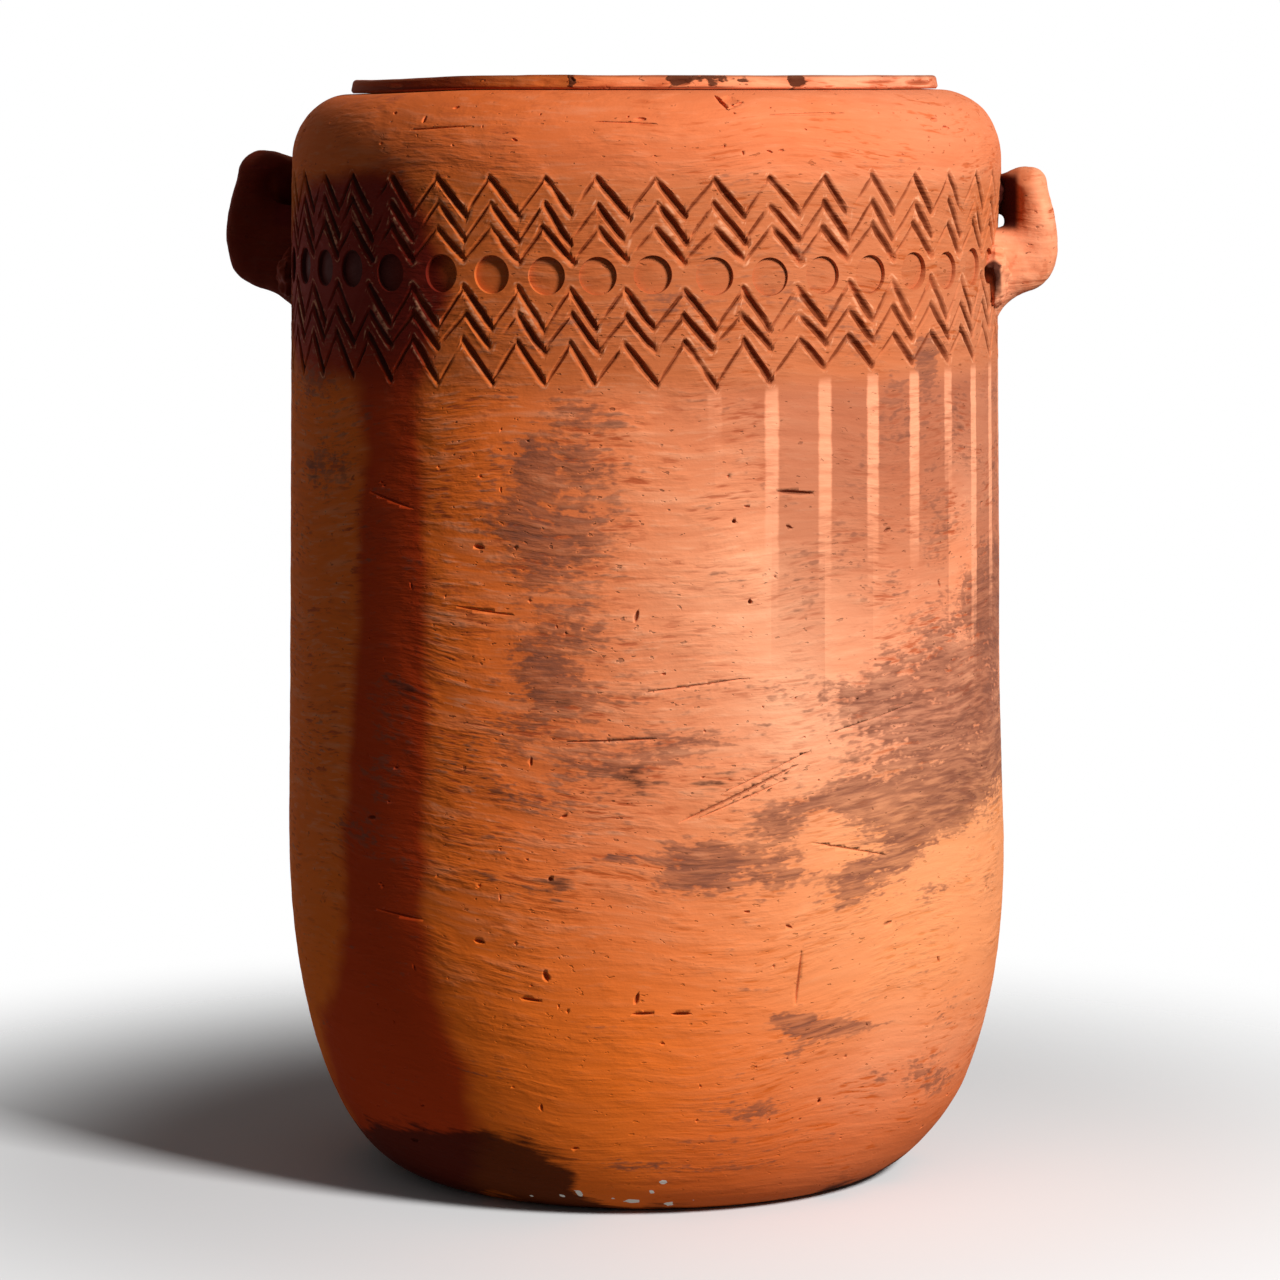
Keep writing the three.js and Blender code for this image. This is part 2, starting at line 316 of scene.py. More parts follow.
def pitted(shape, pits, low, high, seed):
    """Small pits where grit was dragged out of the outside or burned away, as solids to cut with."""
    points = shape.node("GeometryNodePoints", {}, {"Count": pits})
    index = shape.node("GeometryNodeInputIndex")
    height = low + (high - low) * chance(index, 0.0, 1.0, seed)
    angle = chance(index, 0.0, math.tau, seed + 1)
    points = moved(points, on_pot(wall_at(height), angle, height))
    grit = shape.node("GeometryNodeMeshIcoSphere", {}, {"Radius": 1.0, "Subdivisions": 2})
    size = chance(index, 0.0, 1.0, seed + 2) ** 4.0  # most of the grit is fine
    upright = chance(index, 0.0, 1.0, seed + 4).rising(0.7, 0.72)  # about three in ten run up the wall
    long = 0.6 * mm + size * (2.6 * mm)
    short = 0.4 * mm + size * (0.7 * mm)
    deep = 0.7 * mm + size * (0.9 * mm)
    scale = shape.combined(X=deep, Y=between(long, short, upright), Z=between(short, long, upright))
    turned = shape.combined(X=chance(index, -0.5, 0.5, seed + 3), Z=angle)
    values = {"Points": points, "Instance": grit, "Rotation": turned, "Scale": scale}
    solids = shape.node("GeometryNodeInstanceOnPoints", {}, values)
    return solids.node("GeometryNodeRealizeInstances", {}, {0: solids})


def off_axis(x, y):
    """The distance of a place from the pot's axis."""
    return (x * x + y * y).math("SQRT")


def cut_away(shape, *tools):
    """Cuts solids out of a mesh, and stores on its points how far each lies under the plain outside."""
    settings = {"operation": "DIFFERENCE", "solver": "MANIFOLD"}
    for tool in tools:
        shape = shape.node("GeometryNodeMeshBoolean", settings, {"Mesh 1": shape, "Mesh 2": tool})
    x, y, z = shape.node("GeometryNodeInputPosition").parts()
    return stored(shape, "sunk", wall_at(z) - off_axis(x, y))


slump_depth = 2.4 * mm  # how far the shoulder sags on the left
foot_bulge = 3.4 * mm  # how far the foot and the shoulder stand out on the right
shoulder_bulge = 2.2 * mm
least_wear = 0.3 * mm  # how far the lip is worn down, but for a rise just left of the front
uneven_wear = 0.8 * mm
skin_depth = 5 * mm  # what lies deeper than this under the plain outside isn't pressed in


def uneven(shape, wobble, ridges, roughness, wear=0.0):
    """Presses the outside in where hands, rib and scraper did, roughens the inside and wears the lip down."""
    place = shape.node("GeometryNodeInputPosition")
    x, y, z = place.parts()
    bearing = y.math("ARCTAN2", x) - front
    side = bearing.math("SINE")  # from -1 on the left to 1 on the right
    slump = side.rising(-0.5, -1.0) * z.rising(508 * mm, 543 * mm) * slump_depth
    rise = ((bearing + math.radians(19)) / math.radians(9)).math("ABSOLUTE").rising(1.2, 0.1)
    worn = (1 - rise) * least_wear + (place.noise(30, 0, 2, shift=15) - 0.35) * uneven_wear
    lowered = slump + worn * wear * z.rising(545 * mm, 549 * mm)
    low = z.rising(270 * mm, 75 * mm) * z.rising(6 * mm, 45 * mm) * foot_bulge
    high = z.rising(466 * mm, 505 * mm) * z.rising(544 * mm, 532 * mm) * shoulder_bulge
    fuller = (low + high) * side.rising(0.45, 1.0)
    pressed = place.noise(5, 5, 2) * wobble - fuller
    wiped = place.noise(6, 80, 2, shift=3) * ridges
    scraped = place.noise(18, 330, 1, shift=5) * ridges * 0.5
    depth = (pressed + wiped + scraped) * number(shape, "sunk").rising(skin_depth + 1.5 * mm, skin_depth)
    outward = place.vector("MULTIPLY", (1, 1, 0)).vector("NORMALIZE", (0, 0, 0))
    shape = moved(shape, offset=outward.scaled(0 - depth))
    shape = moved(shape, offset=shape.combined(Z=0 - lowered))
    lumps = (place.noise(22, 45, 3, shift=8) - 0.5) * roughness * number(shape, "inside")
    return moved(shape, offset=shape.node("GeometryNodeInputNormal").scaled(lumps))


def edged(shape):
    """Marks the edges between an outside, a joint and an inside as sharp."""
    return sharpened(shape, number(shape, "corner"), 0.99)


turning, given = new_tree(
    "turning",
    {
        "Columns": ("Int", columns),
        "Marks": ("Object", None),
        "Pits": ("Int", 0),
        "Pits From": ("Float", 0.0),
        "Pits To": ("Float", 0.0),
        "Seed": ("Int", 1),
        "Wobble": ("Float", 1.3 * mm),
        "Ridges": ("Float", 0.45 * mm),
        "Roughness": ("Float", 1.6 * mm),
        "Wear": ("Float", 0.0),
        "Clay": ("Material", None),
    },
)
ring = swept(turning, given["Geometry"], given["Columns"])
turn = number(ring, "column") / given["Columns"] * math.tau
ring = edged(moved(ring, on_pot(number(ring, "from_axis"), turn, number(ring, "height"))))
pits = pitted(ring, given["Pits"], given["Pits From"], given["Pits To"], given["Seed"])
marks = ring.node("GeometryNodeObjectInfo", {}, {"Object": given["Marks"]}, "Geometry")
ring = cut_away(ring, pits, marks)
ring = uneven(ring, given["Wobble"], given["Ridges"], given["Roughness"], given["Wear"])
close_tree(ring, given["Clay"])


def srgb(red, green, blue):
    """A colour as it is seen, as the linear colour that a material takes."""
    shares = [v / 255 for v in (red, green, blue)]
    return (*(v / 12.92 if v <= 0.04045 else ((v + 0.055) / 1.055) ** 2.4 for v in shares), 1.0)


def blank(owner):
    """Empties the node tree of a material or a world, and gives a wire in it."""
    owner.use_nodes = True
    owner.node_tree.nodes.clear()
    return Wire(owner.node_tree)


def clay_ground(name):
    """A material's tree with the place on the pot and the marks that all of its clay shares."""
    material = bpy.data.materials.new(name)
    wire = blank(material)
    place = wire.node("ShaderNodeTexCoord", out="Object")
    x, y, z = place.parts()
    slope = place.noise(5, 6, 0, shift=2) * 0.035 + place.noise(19, 24, 0, shift=9) * 0.008
    tilted = place.vector("ADD", wire.combined(Z=slope))
    angle = y.math("ARCTAN2", x)
    return SimpleNamespace(
        material=material,
        wire=wire,
        place=place,
        angle=angle,
        side=(angle - front).math("SINE"),  # from -1 on the left to 1 on the right
        x=x,
        y=y,
        z=z,
        radius=off_axis(x, y),
        cloud=place.noise(6, 7, 3, shift=1),
        patchy=tilted.noise(24, 44, 5, shift=12),
        wipe=tilted.noise(20, 210, 4, shift=4),
        scrape=tilted.noise(70, 470, 3, shift=6),
        fleck=tilted.noise(210, 430, 2, shift=14),
        grain=place.noise(700, 900, 2, shift=7),
    )


def how_sunk(clay):
    """How far a place lies under the plain outside, as it is stored on the mesh."""
    return clay.wire.node("ShaderNodeAttribute", {"attribute_name": "sunk"}, out="Fac")


def covered(clay, spots):
    """How thick something lies round spots: bearing from the front, height, half sizes and strength."""
    total = 0.0
    for bearing, height, half_angle, half_height, strength in spots:
        turned = (clay.angle - (front + math.radians(bearing))) * 0.5
        across = turned.math("SINE") * (2 / math.radians(half_angle))
        rise = (clay.z - height * mm) / (half_height * mm)
        total = total + (0 - (across * across + rise * rise)).math("EXPONENT") * strength
    return total


def broken(clay, thickness, coarse=1.5, fine=1.6):
    """1 where a thin coat has held and 0 where scraping took it off, by how thick it lies."""
    torn = (clay.patchy - 0.5) * coarse + (clay.scrape - 0.5) * fine + (clay.fleck - 0.5) * (fine * 0.7)
    return (thickness + torn).rising(0.32, 0.72)


clay_roughness = 0.86
roughness_range = 0.12
clay_shine = 0.12


def fired(clay, colour, relief):
    """Finishes a clay material with its colour and the relief of its surface, in metres."""
    bump = clay.wire.node("ShaderNodeBump", {}, {"Strength": 1.0, "Distance": 1.0, "Height": relief})
    rough = clay.wipe * roughness_range + (clay_roughness - roughness_range / 2)
    values = {"Base Color": colour, "Roughness": rough, "Normal": bump, "Specular IOR Level": clay_shine}
    shader = clay.wire.node("ShaderNodeBsdfPrincipled", {}, values)
    clay.wire.node("ShaderNodeOutputMaterial", {}, {"Surface": shader})
    return clay.material


terracotta = srgb(228, 130, 84)
shade_tinted_clay = srgb(244, 114, 36)
sunned_clay = srgb(234, 152, 114)
pale_clay = srgb(246, 172, 130)
red_clay = srgb(178, 78, 38)
warm_clay = srgb(248, 160, 98)
orange_clay = srgb(246, 116, 26)
foot_clay = srgb(226, 102, 34)
fired_red_and_shade = srgb(184, 52, 9)
painted_shade_red = srgb(86, 11, 5)
soot = srgb(48, 7, 2)
lime = srgb(255, 252, 240)
grit_and_pit_shade = srgb(96, 40, 22)


def clay_colour(clay):
    """The body colour: a deeper orange on the left that paints in the warm tone of its shade, paler where the
    sun has bleached it, wiped on in bands and dragged by grit.
    """
    # deeper orange toward the left: a painted tint of the shade on that side
    bare = clay.wire.mixing(clay.side.rising(-0.55, 0.12), shade_tinted_clay, terracotta)
    colour = bare.under(sunned_clay, clay.side.rising(0.05, 0.75) * clay.cloud.rising(0.25, 0.55))
    colour = colour.under(pale_clay, clay.wipe.rising(0.5, 0.8) * 0.4)
    colour = colour.under(red_clay, clay.wipe.rising(0.48, 0.2) * 0.35)
    colour = colour.under(pale_clay, clay.scrape.rising(0.54, 0.72) * 0.36)
    dashes = clay.scrape.rising(0.45, 0.31) * (clay.patchy.rising(0.4, 0.58) * 0.82 + 0.1)
    colour = colour.under(red_clay, dashes)
    return colour.under(grit_and_pit_shade, clay.fleck.rising(0.31, 0.26) * 0.6)


def clay_relief(clay):
    """How high the wiped and scraped surface stands, in metres."""
    pocks = clay.fleck.rising(0.33, 0.25) * (-0.3 * mm)
    lumps = clay.patchy * (0.8 * mm) + clay.wipe * (0.5 * mm)
    torn = clay.patchy.rising(0.4, 0.6) * (clay.z.rising(30 * mm, 170 * mm) * 0.45 + 0.25)
    scraped = clay.scrape * ((torn + 0.12) * mm)
    return lumps + scraped + clay.grain * (0.06 * mm) + pocks


# each spot's bearing from the front and height, half angle and half height, and strength, here and in
# the other tables of spots
# the deep red zone on the left: partly the clay's own red, partly painted shade, its sharp edge a painted
# cast shadow
reddened_and_shaded = (
    (-43, 300, 8, 130, 1.1),
    (-46, 180, 9, 70, 0.9),
    (-49, 455, 18, 46, 1.15),
    (-70, 452, 18, 42, 1.1),
    (-46, 70, 15, 60, 1.2),
    (-62, 40, 22, 60, 0.8),
)


def kiln_tones(clay, colour):
    """The body's warmer tones: orange low down, paler toward the sun, and a deep red zone on the left that is
    partly the clay's own red and partly painted shade, darkest over the band.
    """
    warm = clay.z.rising(60 * mm, 130 * mm) * clay.z.rising(250 * mm, 180 * mm)
    colour = colour.under(warm_clay, warm * clay.side.rising(-0.2, 0.8) * 0.6)
    low = clay.z.rising(215 * mm, 75 * mm) * (1 - clay.side.rising(-0.1, 0.6) * 0.72)
    colour = colour.under(orange_clay, low * 0.9)
    base = clay.z.rising(85 * mm, 25 * mm) * clay.side.rising(-0.1, 0.2)
    colour = colour.under(foot_clay, base * 0.7)
    # the red zone on the left, partly painted shade
    red = (covered(clay, reddened_and_shaded) + (clay.patchy - 0.5) * 0.5 + (clay.cloud - 0.5) * 0.5).rising(0.3, 0.7)
    colour = colour.under(fired_red_and_shade, red * 0.92)
    # over the band the red zone darkens further: painted shade
    return colour.under(painted_shade_red, red * clay.z.rising(385 * mm, 430 * mm) * 0.9)


damp_soot = (
    (-62, 32, 22, 16, 0.45),
    (-33, 24, 13, 17, 1.0),
    (-21, 16, 10, 15, 0.8),
    (-50, 13, 15, 15, 0.9),
    (-70, 12, 18, 14, 0.6),
    (-5, 3, 16, 7, 0.5),
    (35, 2, 30, 6, 0.4),
    (75, 3, 30, 8, 0.45),
    (140, 6, 60, 10, 0.7),
    (-115, 8, 50, 10, 0.7),
)
lime_splash = (
    (-13, 12, 0.75, 1.9, 1.1),
    (-2.5, 8, 1.5, 1.5, 1.1),
    (3.5, 20, 1.0, 1.6, 1.0),
    (1.5, 14, 0.7, 1.3, 0.75),
    (5, 6, 1.1, 1.5, 0.85),
    (-17, 10, 0.8, 1.2, 0.65),
    (-6.5, 9.5, 0.9, 1.0, 0.6),
    (10, 8, 0.5, 0.9, 0.6),
    (-24, 8, 0.6, 0.9, 0.55),
)


def stained(clay, colour):
    """Soot and damp low down, and splashes of lime."""
    ragged = (clay.patchy - 0.5) * 1.6 + (clay.cloud - 0.5) * 1.2 + (clay.scrape - 0.5) * 0.7
    damp = (covered(clay, damp_soot) + ragged).rising(0.3, 0.66)
    colour = colour.under(soot, damp * 0.88)
    splash = (covered(clay, lime_splash) + (clay.fleck - 0.5) * 1.2).rising(0.42, 0.5)
    return colour.under(lime, splash)


clay = clay_ground("slab_clay")
colour = stained(clay, kiln_tones(clay, clay_colour(clay)))
slab_clay = fired(clay, colour, clay_relief(clay))

top = slab_thickness
drain_bevel = 2 * mm
slab = closed_line(
    "floor_slab_clay",
    ("under", spaced([(drain_radius, 0), (foot_radius, 0)], inside_spacing)),
    ("skin", outer_line(0, top)),
    ("inside", spaced([(outer_radius(top), top), (drain_radius + drain_bevel, top)], inside_spacing / 3)),
    ("inside", spaced([(drain_radius + drain_bevel, top), (drain_radius, top - drain_bevel)], 1 * mm)),
    ("inside", spaced([(drain_radius, top - drain_bevel), (drain_radius, 0)], 2 * mm)),
)
plain(slab, turning.tree, columns=slab_columns, clay=slab_clay)


def dressed(piece, node):
    """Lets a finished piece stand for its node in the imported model."""
    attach(piece, "root")
    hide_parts(node)


dressed(slab, "floor_slab")

# Lower and middle wall: two rings of coils, beaten together and scraped smooth, so that no joint shows.
# The upper one sits over a bevel on the lower. The kiln's flame and old damp have left brown patches on
# them, and slip has run down from the carving in pale stripes.
lower_seam = 190 * mm
middle_seam = 390 * mm
upper_seam = 512 * mm
wall_thickness = 14 * mm
floor_radius = 108 * mm
bevel_rise = 6 * mm
repeats = 40  # teeth of the zigzag round the pot
drip_foot = 230 * mm  # the lowest that a pale run reaches under a tip of the zigzag
veil_foot = 246 * mm  # the lowest that the dull veil between two runs reaches
scorch = srgb(128, 76, 58)
veil_clay = srgb(160, 88, 60)
washed = srgb(246, 164, 124)
bleached_clay = srgb(255, 186, 144)
bleached = (
    (20, 300, 20, 62, 0.6),
    (24, 245, 9, 26, 0.45),
)
scorches = (
    (28, 97, 8, 5, 0.45),
    (25, 101, 3, 3, 0.35),
    (34, 207, 8, 9, 0.85),
    (45, 199, 10, 20, 0.95),
    (58, 203, 10, 21, 0.9),
    (72, 212, 10, 20, 0.9),
    (88, 215, 12, 20, 0.9),
    (28.5, 186, 2.8, 13, -1.0),
    (58, 285, 18, 40, 0.36),
    (45, 250, 16, 26, 0.36),
    (24, 262, 10, 10, 0.25),
    (24, 206, 8, 5, 0.6),
    (8, 185, 7, 9, 0.95),
    (8, 171, 6, 6, 0.6),
    (21, 195, 4.5, 7, 0.85),
    (16, 180, 8, 8, 0.42),
    (36, 164, 9, 9, 0.55),
    (24, 168, 10, 7, 0.42),
    (30, 173, 12, 5, 0.45),
    (24, 183, 7, 5, 0.5),
    (43, 178, 6, 9, 0.6),
    (36, 248, 8, 20, 0.42),
    (-17, 315, 10, 55, 0.3),
    (50, 158, 7, 5, 0.4),
    (-4, 184, 4, 2.5, 0.7),
    (0, 29, 10, 3, 0.5),
    (16, 27, 12, 3, 0.5),
    (56, 240, 16, 26, 0.5),
    (72, 250, 10, 20, 0.5),
    (8, 240, 9, 9, 0.45),
    (3, 232, 10, 8, 0.55),
    (2, 262, 14, 8, 0.25),
    (78, 285, 7, 30, 0.9),
    (66, 300, 9, 26, 0.35),
    (-18, 368, 4, 16, 0.62),
    (-10, 366, 8, 20, 0.42),
    (-12, 330, 9, 16, 0.35),
    (-22, 345, 5, 12, 0.3),
    (-15, 272, 7, 16, 0.75),
    (-14, 240, 10, 22, 0.45),
    (-13, 395, 9, 16, 0.32),
    (-11, 345, 7, 20, 0.3),
    (4, 448, 8, 10, 0.45),
    (21, 445, 9, 12, 0.38),
    (8, 470, 7, 9, 0.25),
    (-13, 428, 10, 14, 0.3),
    (34, 425, 6, 8, 0.35),
    (-16, 205, 12, 24, 0.28),
    (-12, 301, 8, 16, 0.25),
    (23, 103, 4.5, 4, 0.95),
    (30, 96, 8, 3.5, 0.6),
    (39, 94, 5, 3.5, 0.6),
    (58, 100, 5, 10, 0.4),
    (52, 66, 9, 9, 0.45),
    (61, 54, 6, 8, 0.6),
    (19, 58, 7, 6, 0.45),
    (49.5, 414, 3.6, 11, 1.2),
    (41, 409, 4, 6, 0.45),
    (-62, 395, 14, 20, 0.5),
    (-60, 360, 12, 16, 0.4),
    (-44, 225, 5, 30, 0.45),
    (-48, 190, 7, 14, 0.5),
    (130, 300, 30, 30, 0.8),
    (165, 150, 26, 22, 0.8),
    (230, 240, 30, 36, 0.8),
    (255, 120, 18, 18, 0.7),
    (190, 380, 24, 14, 0.5),
)


def luck_of(turn):
    """A number from 0 to 1 that each tooth round the pot has to itself, from a place counted in teeth."""
    tooth = turn.math("FLOOR").math("FLOORED_MODULO", repeats)
    return tooth.node("ShaderNodeTexWhiteNoise", {"noise_dimensions": "1D"}, {"W": tooth})


def weathered(clay, colour):
    """What the kiln and the weather did to the walls, over their body colour."""
    colour = kiln_tones(clay, colour)
    turn = clay.angle * (repeats / math.tau) + (clay.place.noise(1, 14, 2, shift=20) - 0.5) * 0.09
    outside = clay.radius.rising(167 * mm, 171 * mm)
    # pale slip that ran down under each tip, further on the right, where the tips also climb
    off_tip = (turn.math("FRACT") - 0.5).math("ABSOLUTE") + (clay.wipe - 0.5) * 0.05
    under_tips = (clay.z - clay.side.rising(0.2, 0.6) * (7 * mm)).rising(404 * mm, 399 * mm) * outside
    end = luck_of(turn + 0.5) * (120 * mm) + drip_foot + (1 - clay.side.rising(-0.3, 0.6)) * (120 * mm)
    ended = (clay.z - end + (clay.scrape - 0.5) * (80 * mm)).rising(0, 100 * mm)
    drip = off_tip.rising(0.35, 0.41) * ended * under_tips
    drip = drip * (clay.scrape * 0.9 + clay.wipe * 0.7 + 0.1).math("MINIMUM", 1.0)
    # the duller clay between the runs
    luck = luck_of(turn)
    end = luck * (120 * mm) + veil_foot + (1 - clay.side.rising(-0.1, 0.7)) * (90 * mm)
    veil = (clay.z - end).rising(-50 * mm, 60 * mm) * clay.z.rising(414 * mm, 398 * mm)
    veil = veil * (luck * 0.35 + 0.62) * clay.side.rising(-0.45, 0.6) * outside
    colour = colour.under(bleached_clay, covered(clay, bleached) * (clay.wipe * 0.8 + clay.scrape * 0.6))
    smoke = broken(clay, covered(clay, scorches) + veil * 0.3 - drip * 0.45)
    colour = colour.under(veil_clay, veil * (0.98 - drip).math("MAXIMUM", 0.0))
    thick = clay.wipe.rising(0.7, 0.35) * 0.3 + clay.scrape.rising(0.62, 0.42) * 0.25 + 0.38
    colour = colour.under(scorch, smoke * thick)
    return colour.under(washed, drip * (clay.side.rising(-0.45, 0.3) * 0.5 + 0.22))


def wall_clay(name):
    """The clay of the plain walls."""
    clay = clay_ground(name)
    colour = stained(clay, weathered(clay, clay_colour(clay)))
    # darker where the surface lies sunk, in the pits and gouges: painted shade
    colour = colour.under(grit_and_pit_shade, how_sunk(clay).rising(0.3 * mm, 1.2 * mm) * 0.6)
    return fired(clay, colour, clay_relief(clay))


plain_clay = wall_clay("wall_clay")


def inner_radius(z):
    """Radius of the inside of the pot at a height, below the shoulder."""
    if z < belly_height:
        drop = min(1.0, (belly_height - z) / (belly_height - slab_thickness))
        swell = (1 - drop**bowl_fullness) ** (1 / bowl_fullness)
        return floor_radius + (belly_radius - wall_thickness - floor_radius) * swell
    return outer_radius(min(z, shoulder_start)) - wall_thickness


def wall_ring(name, bottom, top, foot_bevel=bevel_rise):
    """The section through one ring of wall, with the bevelled joints at its foot and its top."""
    inner_foot = bottom + foot_bevel
    inner_top = top + bevel_rise
    inside = [(inner_radius(z), z) for z in np.linspace(inner_top, inner_foot, 200)]
    return closed_line(
        name,
        ("joint", [inside[-1], (outer_radius(bottom), bottom)]),
        ("skin", outer_line(bottom, top)),
        ("joint", [(outer_radius(top), top), inside[0]]),
        ("inside", spaced(inside, inside_spacing)),
    )


def tube_faces(rings, around):
    """The faces of a tube through rings of points, closed at both ends."""
    faces = []
    for low in range(0, (rings - 1) * around, around):
        for k in range(around):
            after = (k + 1) % around
            faces.append((low + k, low + after, low + around + after, low + around + k))
    faces.append(tuple(range(around))[::-1])
    faces.append(tuple(range((rings - 1) * around, rings * around)))
    return faces


def gouge(start, end, half_width, depth, surface=outer_radius):
    """The points and faces of a spindle along the wall between two marks of bearing and height."""
    sides = 8
    stations = 4 + 2 * round(math.dist(start, end) / 6)
    girth = surface(start[1] * mm)
    span = math.radians(end[0] - start[0]) * girth
    rise = (end[1] - start[1]) * mm
    length = math.hypot(span, rise) or 1.0
    vertices = []
    for station in range(stations + 1):
        share = 0.01 + 0.98 * station / stations
        full = math.sqrt(1 - (2 * share - 1) ** 2)
        bearing = start[0] + (end[0] - start[0]) * share
        height = start[1] * mm + rise * share
        for k in range(sides):
            t = k * math.tau / sides
            aside = half_width * mm * full * math.cos(t)
            angle = front + math.radians(bearing) - aside * rise / length / girth
            z = height + aside * span / length
            radius = surface(z) + depth * mm * full * math.sin(t)
            vertices.append((radius * math.cos(angle), radius * math.sin(angle), z))
    return vertices, tube_faces(stations + 1, sides)


def tool_object(name, shapes):
    """One object of separate solids, each facing outwards."""
    vertices = []
    faces = []
    for some_vertices, some_faces in shapes:
        faces += [tuple(len(vertices) + i for i in face) for face in some_faces]
        vertices += some_vertices
    piece = mesh_object(name, vertices, [], faces)
    shell = bmesh.new()
    shell.from_mesh(piece.data)
    bmesh.ops.recalc_face_normals(shell, faces=shell.faces)
    shell.to_mesh(piece.data)
    shell.free()
    return piece


# start and end as bearing and height, half width, depth
wall_gouges = (
    ((5.0, 200), (24, 226), 0.9, 1.3),
    ((8.0, 202), (22, 219), 0.6, 0.7),
    ((12.0, 214), (26, 232), 0.6, 0.7),
    ((24.6, 136), (24.0, 110), 0.8, 1.2),
    ((20.5, 355.5), (26.5, 354), 1.1, 2.2),
    ((-14.8, 172), (-14.0, 173), 1.1, 2.0),
    ((-15.6, 128), (-15.0, 123), 1.6, 2.0),
    ((-19.5, 114), (-16.0, 113), 0.9, 1.6),
    ((-2.0, 108), (1.5, 108.5), 0.9, 1.6),
    ((4.0, 108), (7.2, 108), 0.9, 2.0),
    ((13.2, 342), (13.9, 342), 1.2, 3.0),
    ((15.7, 304), (16.4, 304), 1.4, 3.2),
    ((30.2, 59), (30.9, 59), 1.3, 3.0),
    ((-12.0, 238), (2.0, 240), 0.6, 0.8),
    ((0.0, 262), (16.0, 268), 0.6, 0.7),
    ((26.0, 188), (40.0, 178), 0.6, 0.7),
    ((30.0, 240), (46.0, 250), 0.6, 0.7),
    ((-30.0, 300), (-20.0, 297), 0.6, 0.8),
    ((-48.0, 352), (-38.0, 345), 0.8, 1.0),
    ((-46.0, 150), (-36.0, 148), 0.7, 0.9),
    ((110, 260), (128, 268), 0.9, 1.2),
    ((150, 180), (151, 160), 0.9, 1.2),
    ((-120, 330), (-108, 327), 0.9, 1.2),
)
gouges = tool_object("gouges", [gouge(*mark) for mark in wall_gouges])
lower_wall = wall_ring("lower_wall_clay", slab_thickness, lower_seam, 0)
middle_wall = wall_ring("middle_wall_clay", lower_seam, middle_seam)
for piece, node, low, high in (
    (lower_wall, "lower_wall", slab_thickness + 10 * mm, lower_seam),
    (middle_wall, "middle_wall", lower_seam, middle_seam),
):
    plain(piece, turning.tree, clay=plain_clay, marks=gouges, pits=130, pits_from=low, pits_to=high)
    dressed(piece, node)
bpy.data.objects.remove(gouges)

# Carved wall: the band that the potter carved when the clay was leather hard. Each zigzag is cut stroke
# by stroke with a pointed tool, so strokes overshoot at the tips and throw up a burr. The discs are
# pressed in with the end of a cane, three lines of zigzag above them and three below.
knots = 2 * repeats  # turns of a zigzag line round the pot
# height and half height of each line of the band, from its foot to its top
band_lines = (
    (390.0, 0.0),
    (415.9, -9.8),
    (430.4, -7.9),
    (440.8, -9.3),
    (456.8, 0.0),
    (471.1, 7.8),
    (481.3, 8.6),
    (493.4, 8.8),
    (512.0, 0.0),
)
stroke_columns = 9
tip_crowding = 0.55
near_stroke = (0.9, 1.8, 2.8, 3.9)  # rows beside a stroke, by their height off its middle
# the share of the way along a stroke, and how much the tool had lifted there
stroke_points = ((0.0, 1.0), (0.3, 0.25), (0.7, 0.0), (1.0, 0.8))


def band_rows():
    """The rows of the carved outside: the line below each, the share of the way to the line above."""
    rows = []
    for line, ((low, low_sway), (high, high_sway)) in enumerate(zip(band_lines, band_lines[1:])):
        gap = high - low
        below = [d / gap for d in near_stroke if d < 0.45 * gap] if low_sway else []
        above = [1 - d / gap for d in near_stroke if d < 0.45 * gap] if high_sway else []
        start = below[-1] if below else 0.0
        end = above[-1] if above else 1.0
        widest = (end - start) * (gap + abs(high_sway - low_sway))
        fill = max(1, round(widest / 2.15))
        middle = [start + (end - start) * i / fill for i in range(fill + 1)]
        rows += [(line, share) for share in sorted({0.0, *below, *above, *middle}) if share < 1]
    return [*rows, (len(band_lines) - 2, 1.0)]


rows = band_rows()
inside = [(inner_radius(z), z) for z in np.linspace(upper_seam + bevel_rise, middle_seam + bevel_rise, 200)]
inside = spaced(inside, inside_spacing)
low = [band_lines[line] for line, share in rows]
high = [band_lines[line + 1] for line, share in rows]
spare = [0.0] * len(inside)
count = len(rows) + len(inside)
heights = [a[0] * mm * (1 - share) + b[0] * mm * share for (_, share), a, b in zip(rows, low, high)]
carved_wall = mesh_object(
    "carved_wall_clay",
    [(outer_radius(z), 0, z) for z in heights] + [(r, 0, z) for r, z in inside],
    [(i, (i + 1) % count) for i in range(count)],
    [],
    from_axis=[outer_radius(z) for z in heights] + [r for r, z in inside],
    height=heights + [z for r, z in inside],
    line=[line for line, share in rows] + spare,
    share=[share for line, share in rows] + spare,
    base=[a[0] * mm for a in low] + spare,
    sway=[a[1] * mm for a in low] + spare,
    next_base=[b[0] * mm for b in high] + spare,
    next_sway=[b[1] * mm for b in high] + spare,
    skin=[1.0] * len(rows) + spare,
    inside=[0.0] * (len(rows) + 1) + [1.0] * (len(inside) - 2) + [0.0],
    corner=[float(i in (0, len(rows) - 1, len(rows), count - 1)) for i in range(count)],
)
marks = [
    (line, knot, share, lift * mm, float((knot % 2 == 0) == (sway > 0)))
    for line, (base, sway) in enumerate(band_lines)
    if sway
    for knot in range(-1, knots + 1)
    for share, lift in stroke_points
]
steps = len(stroke_points)
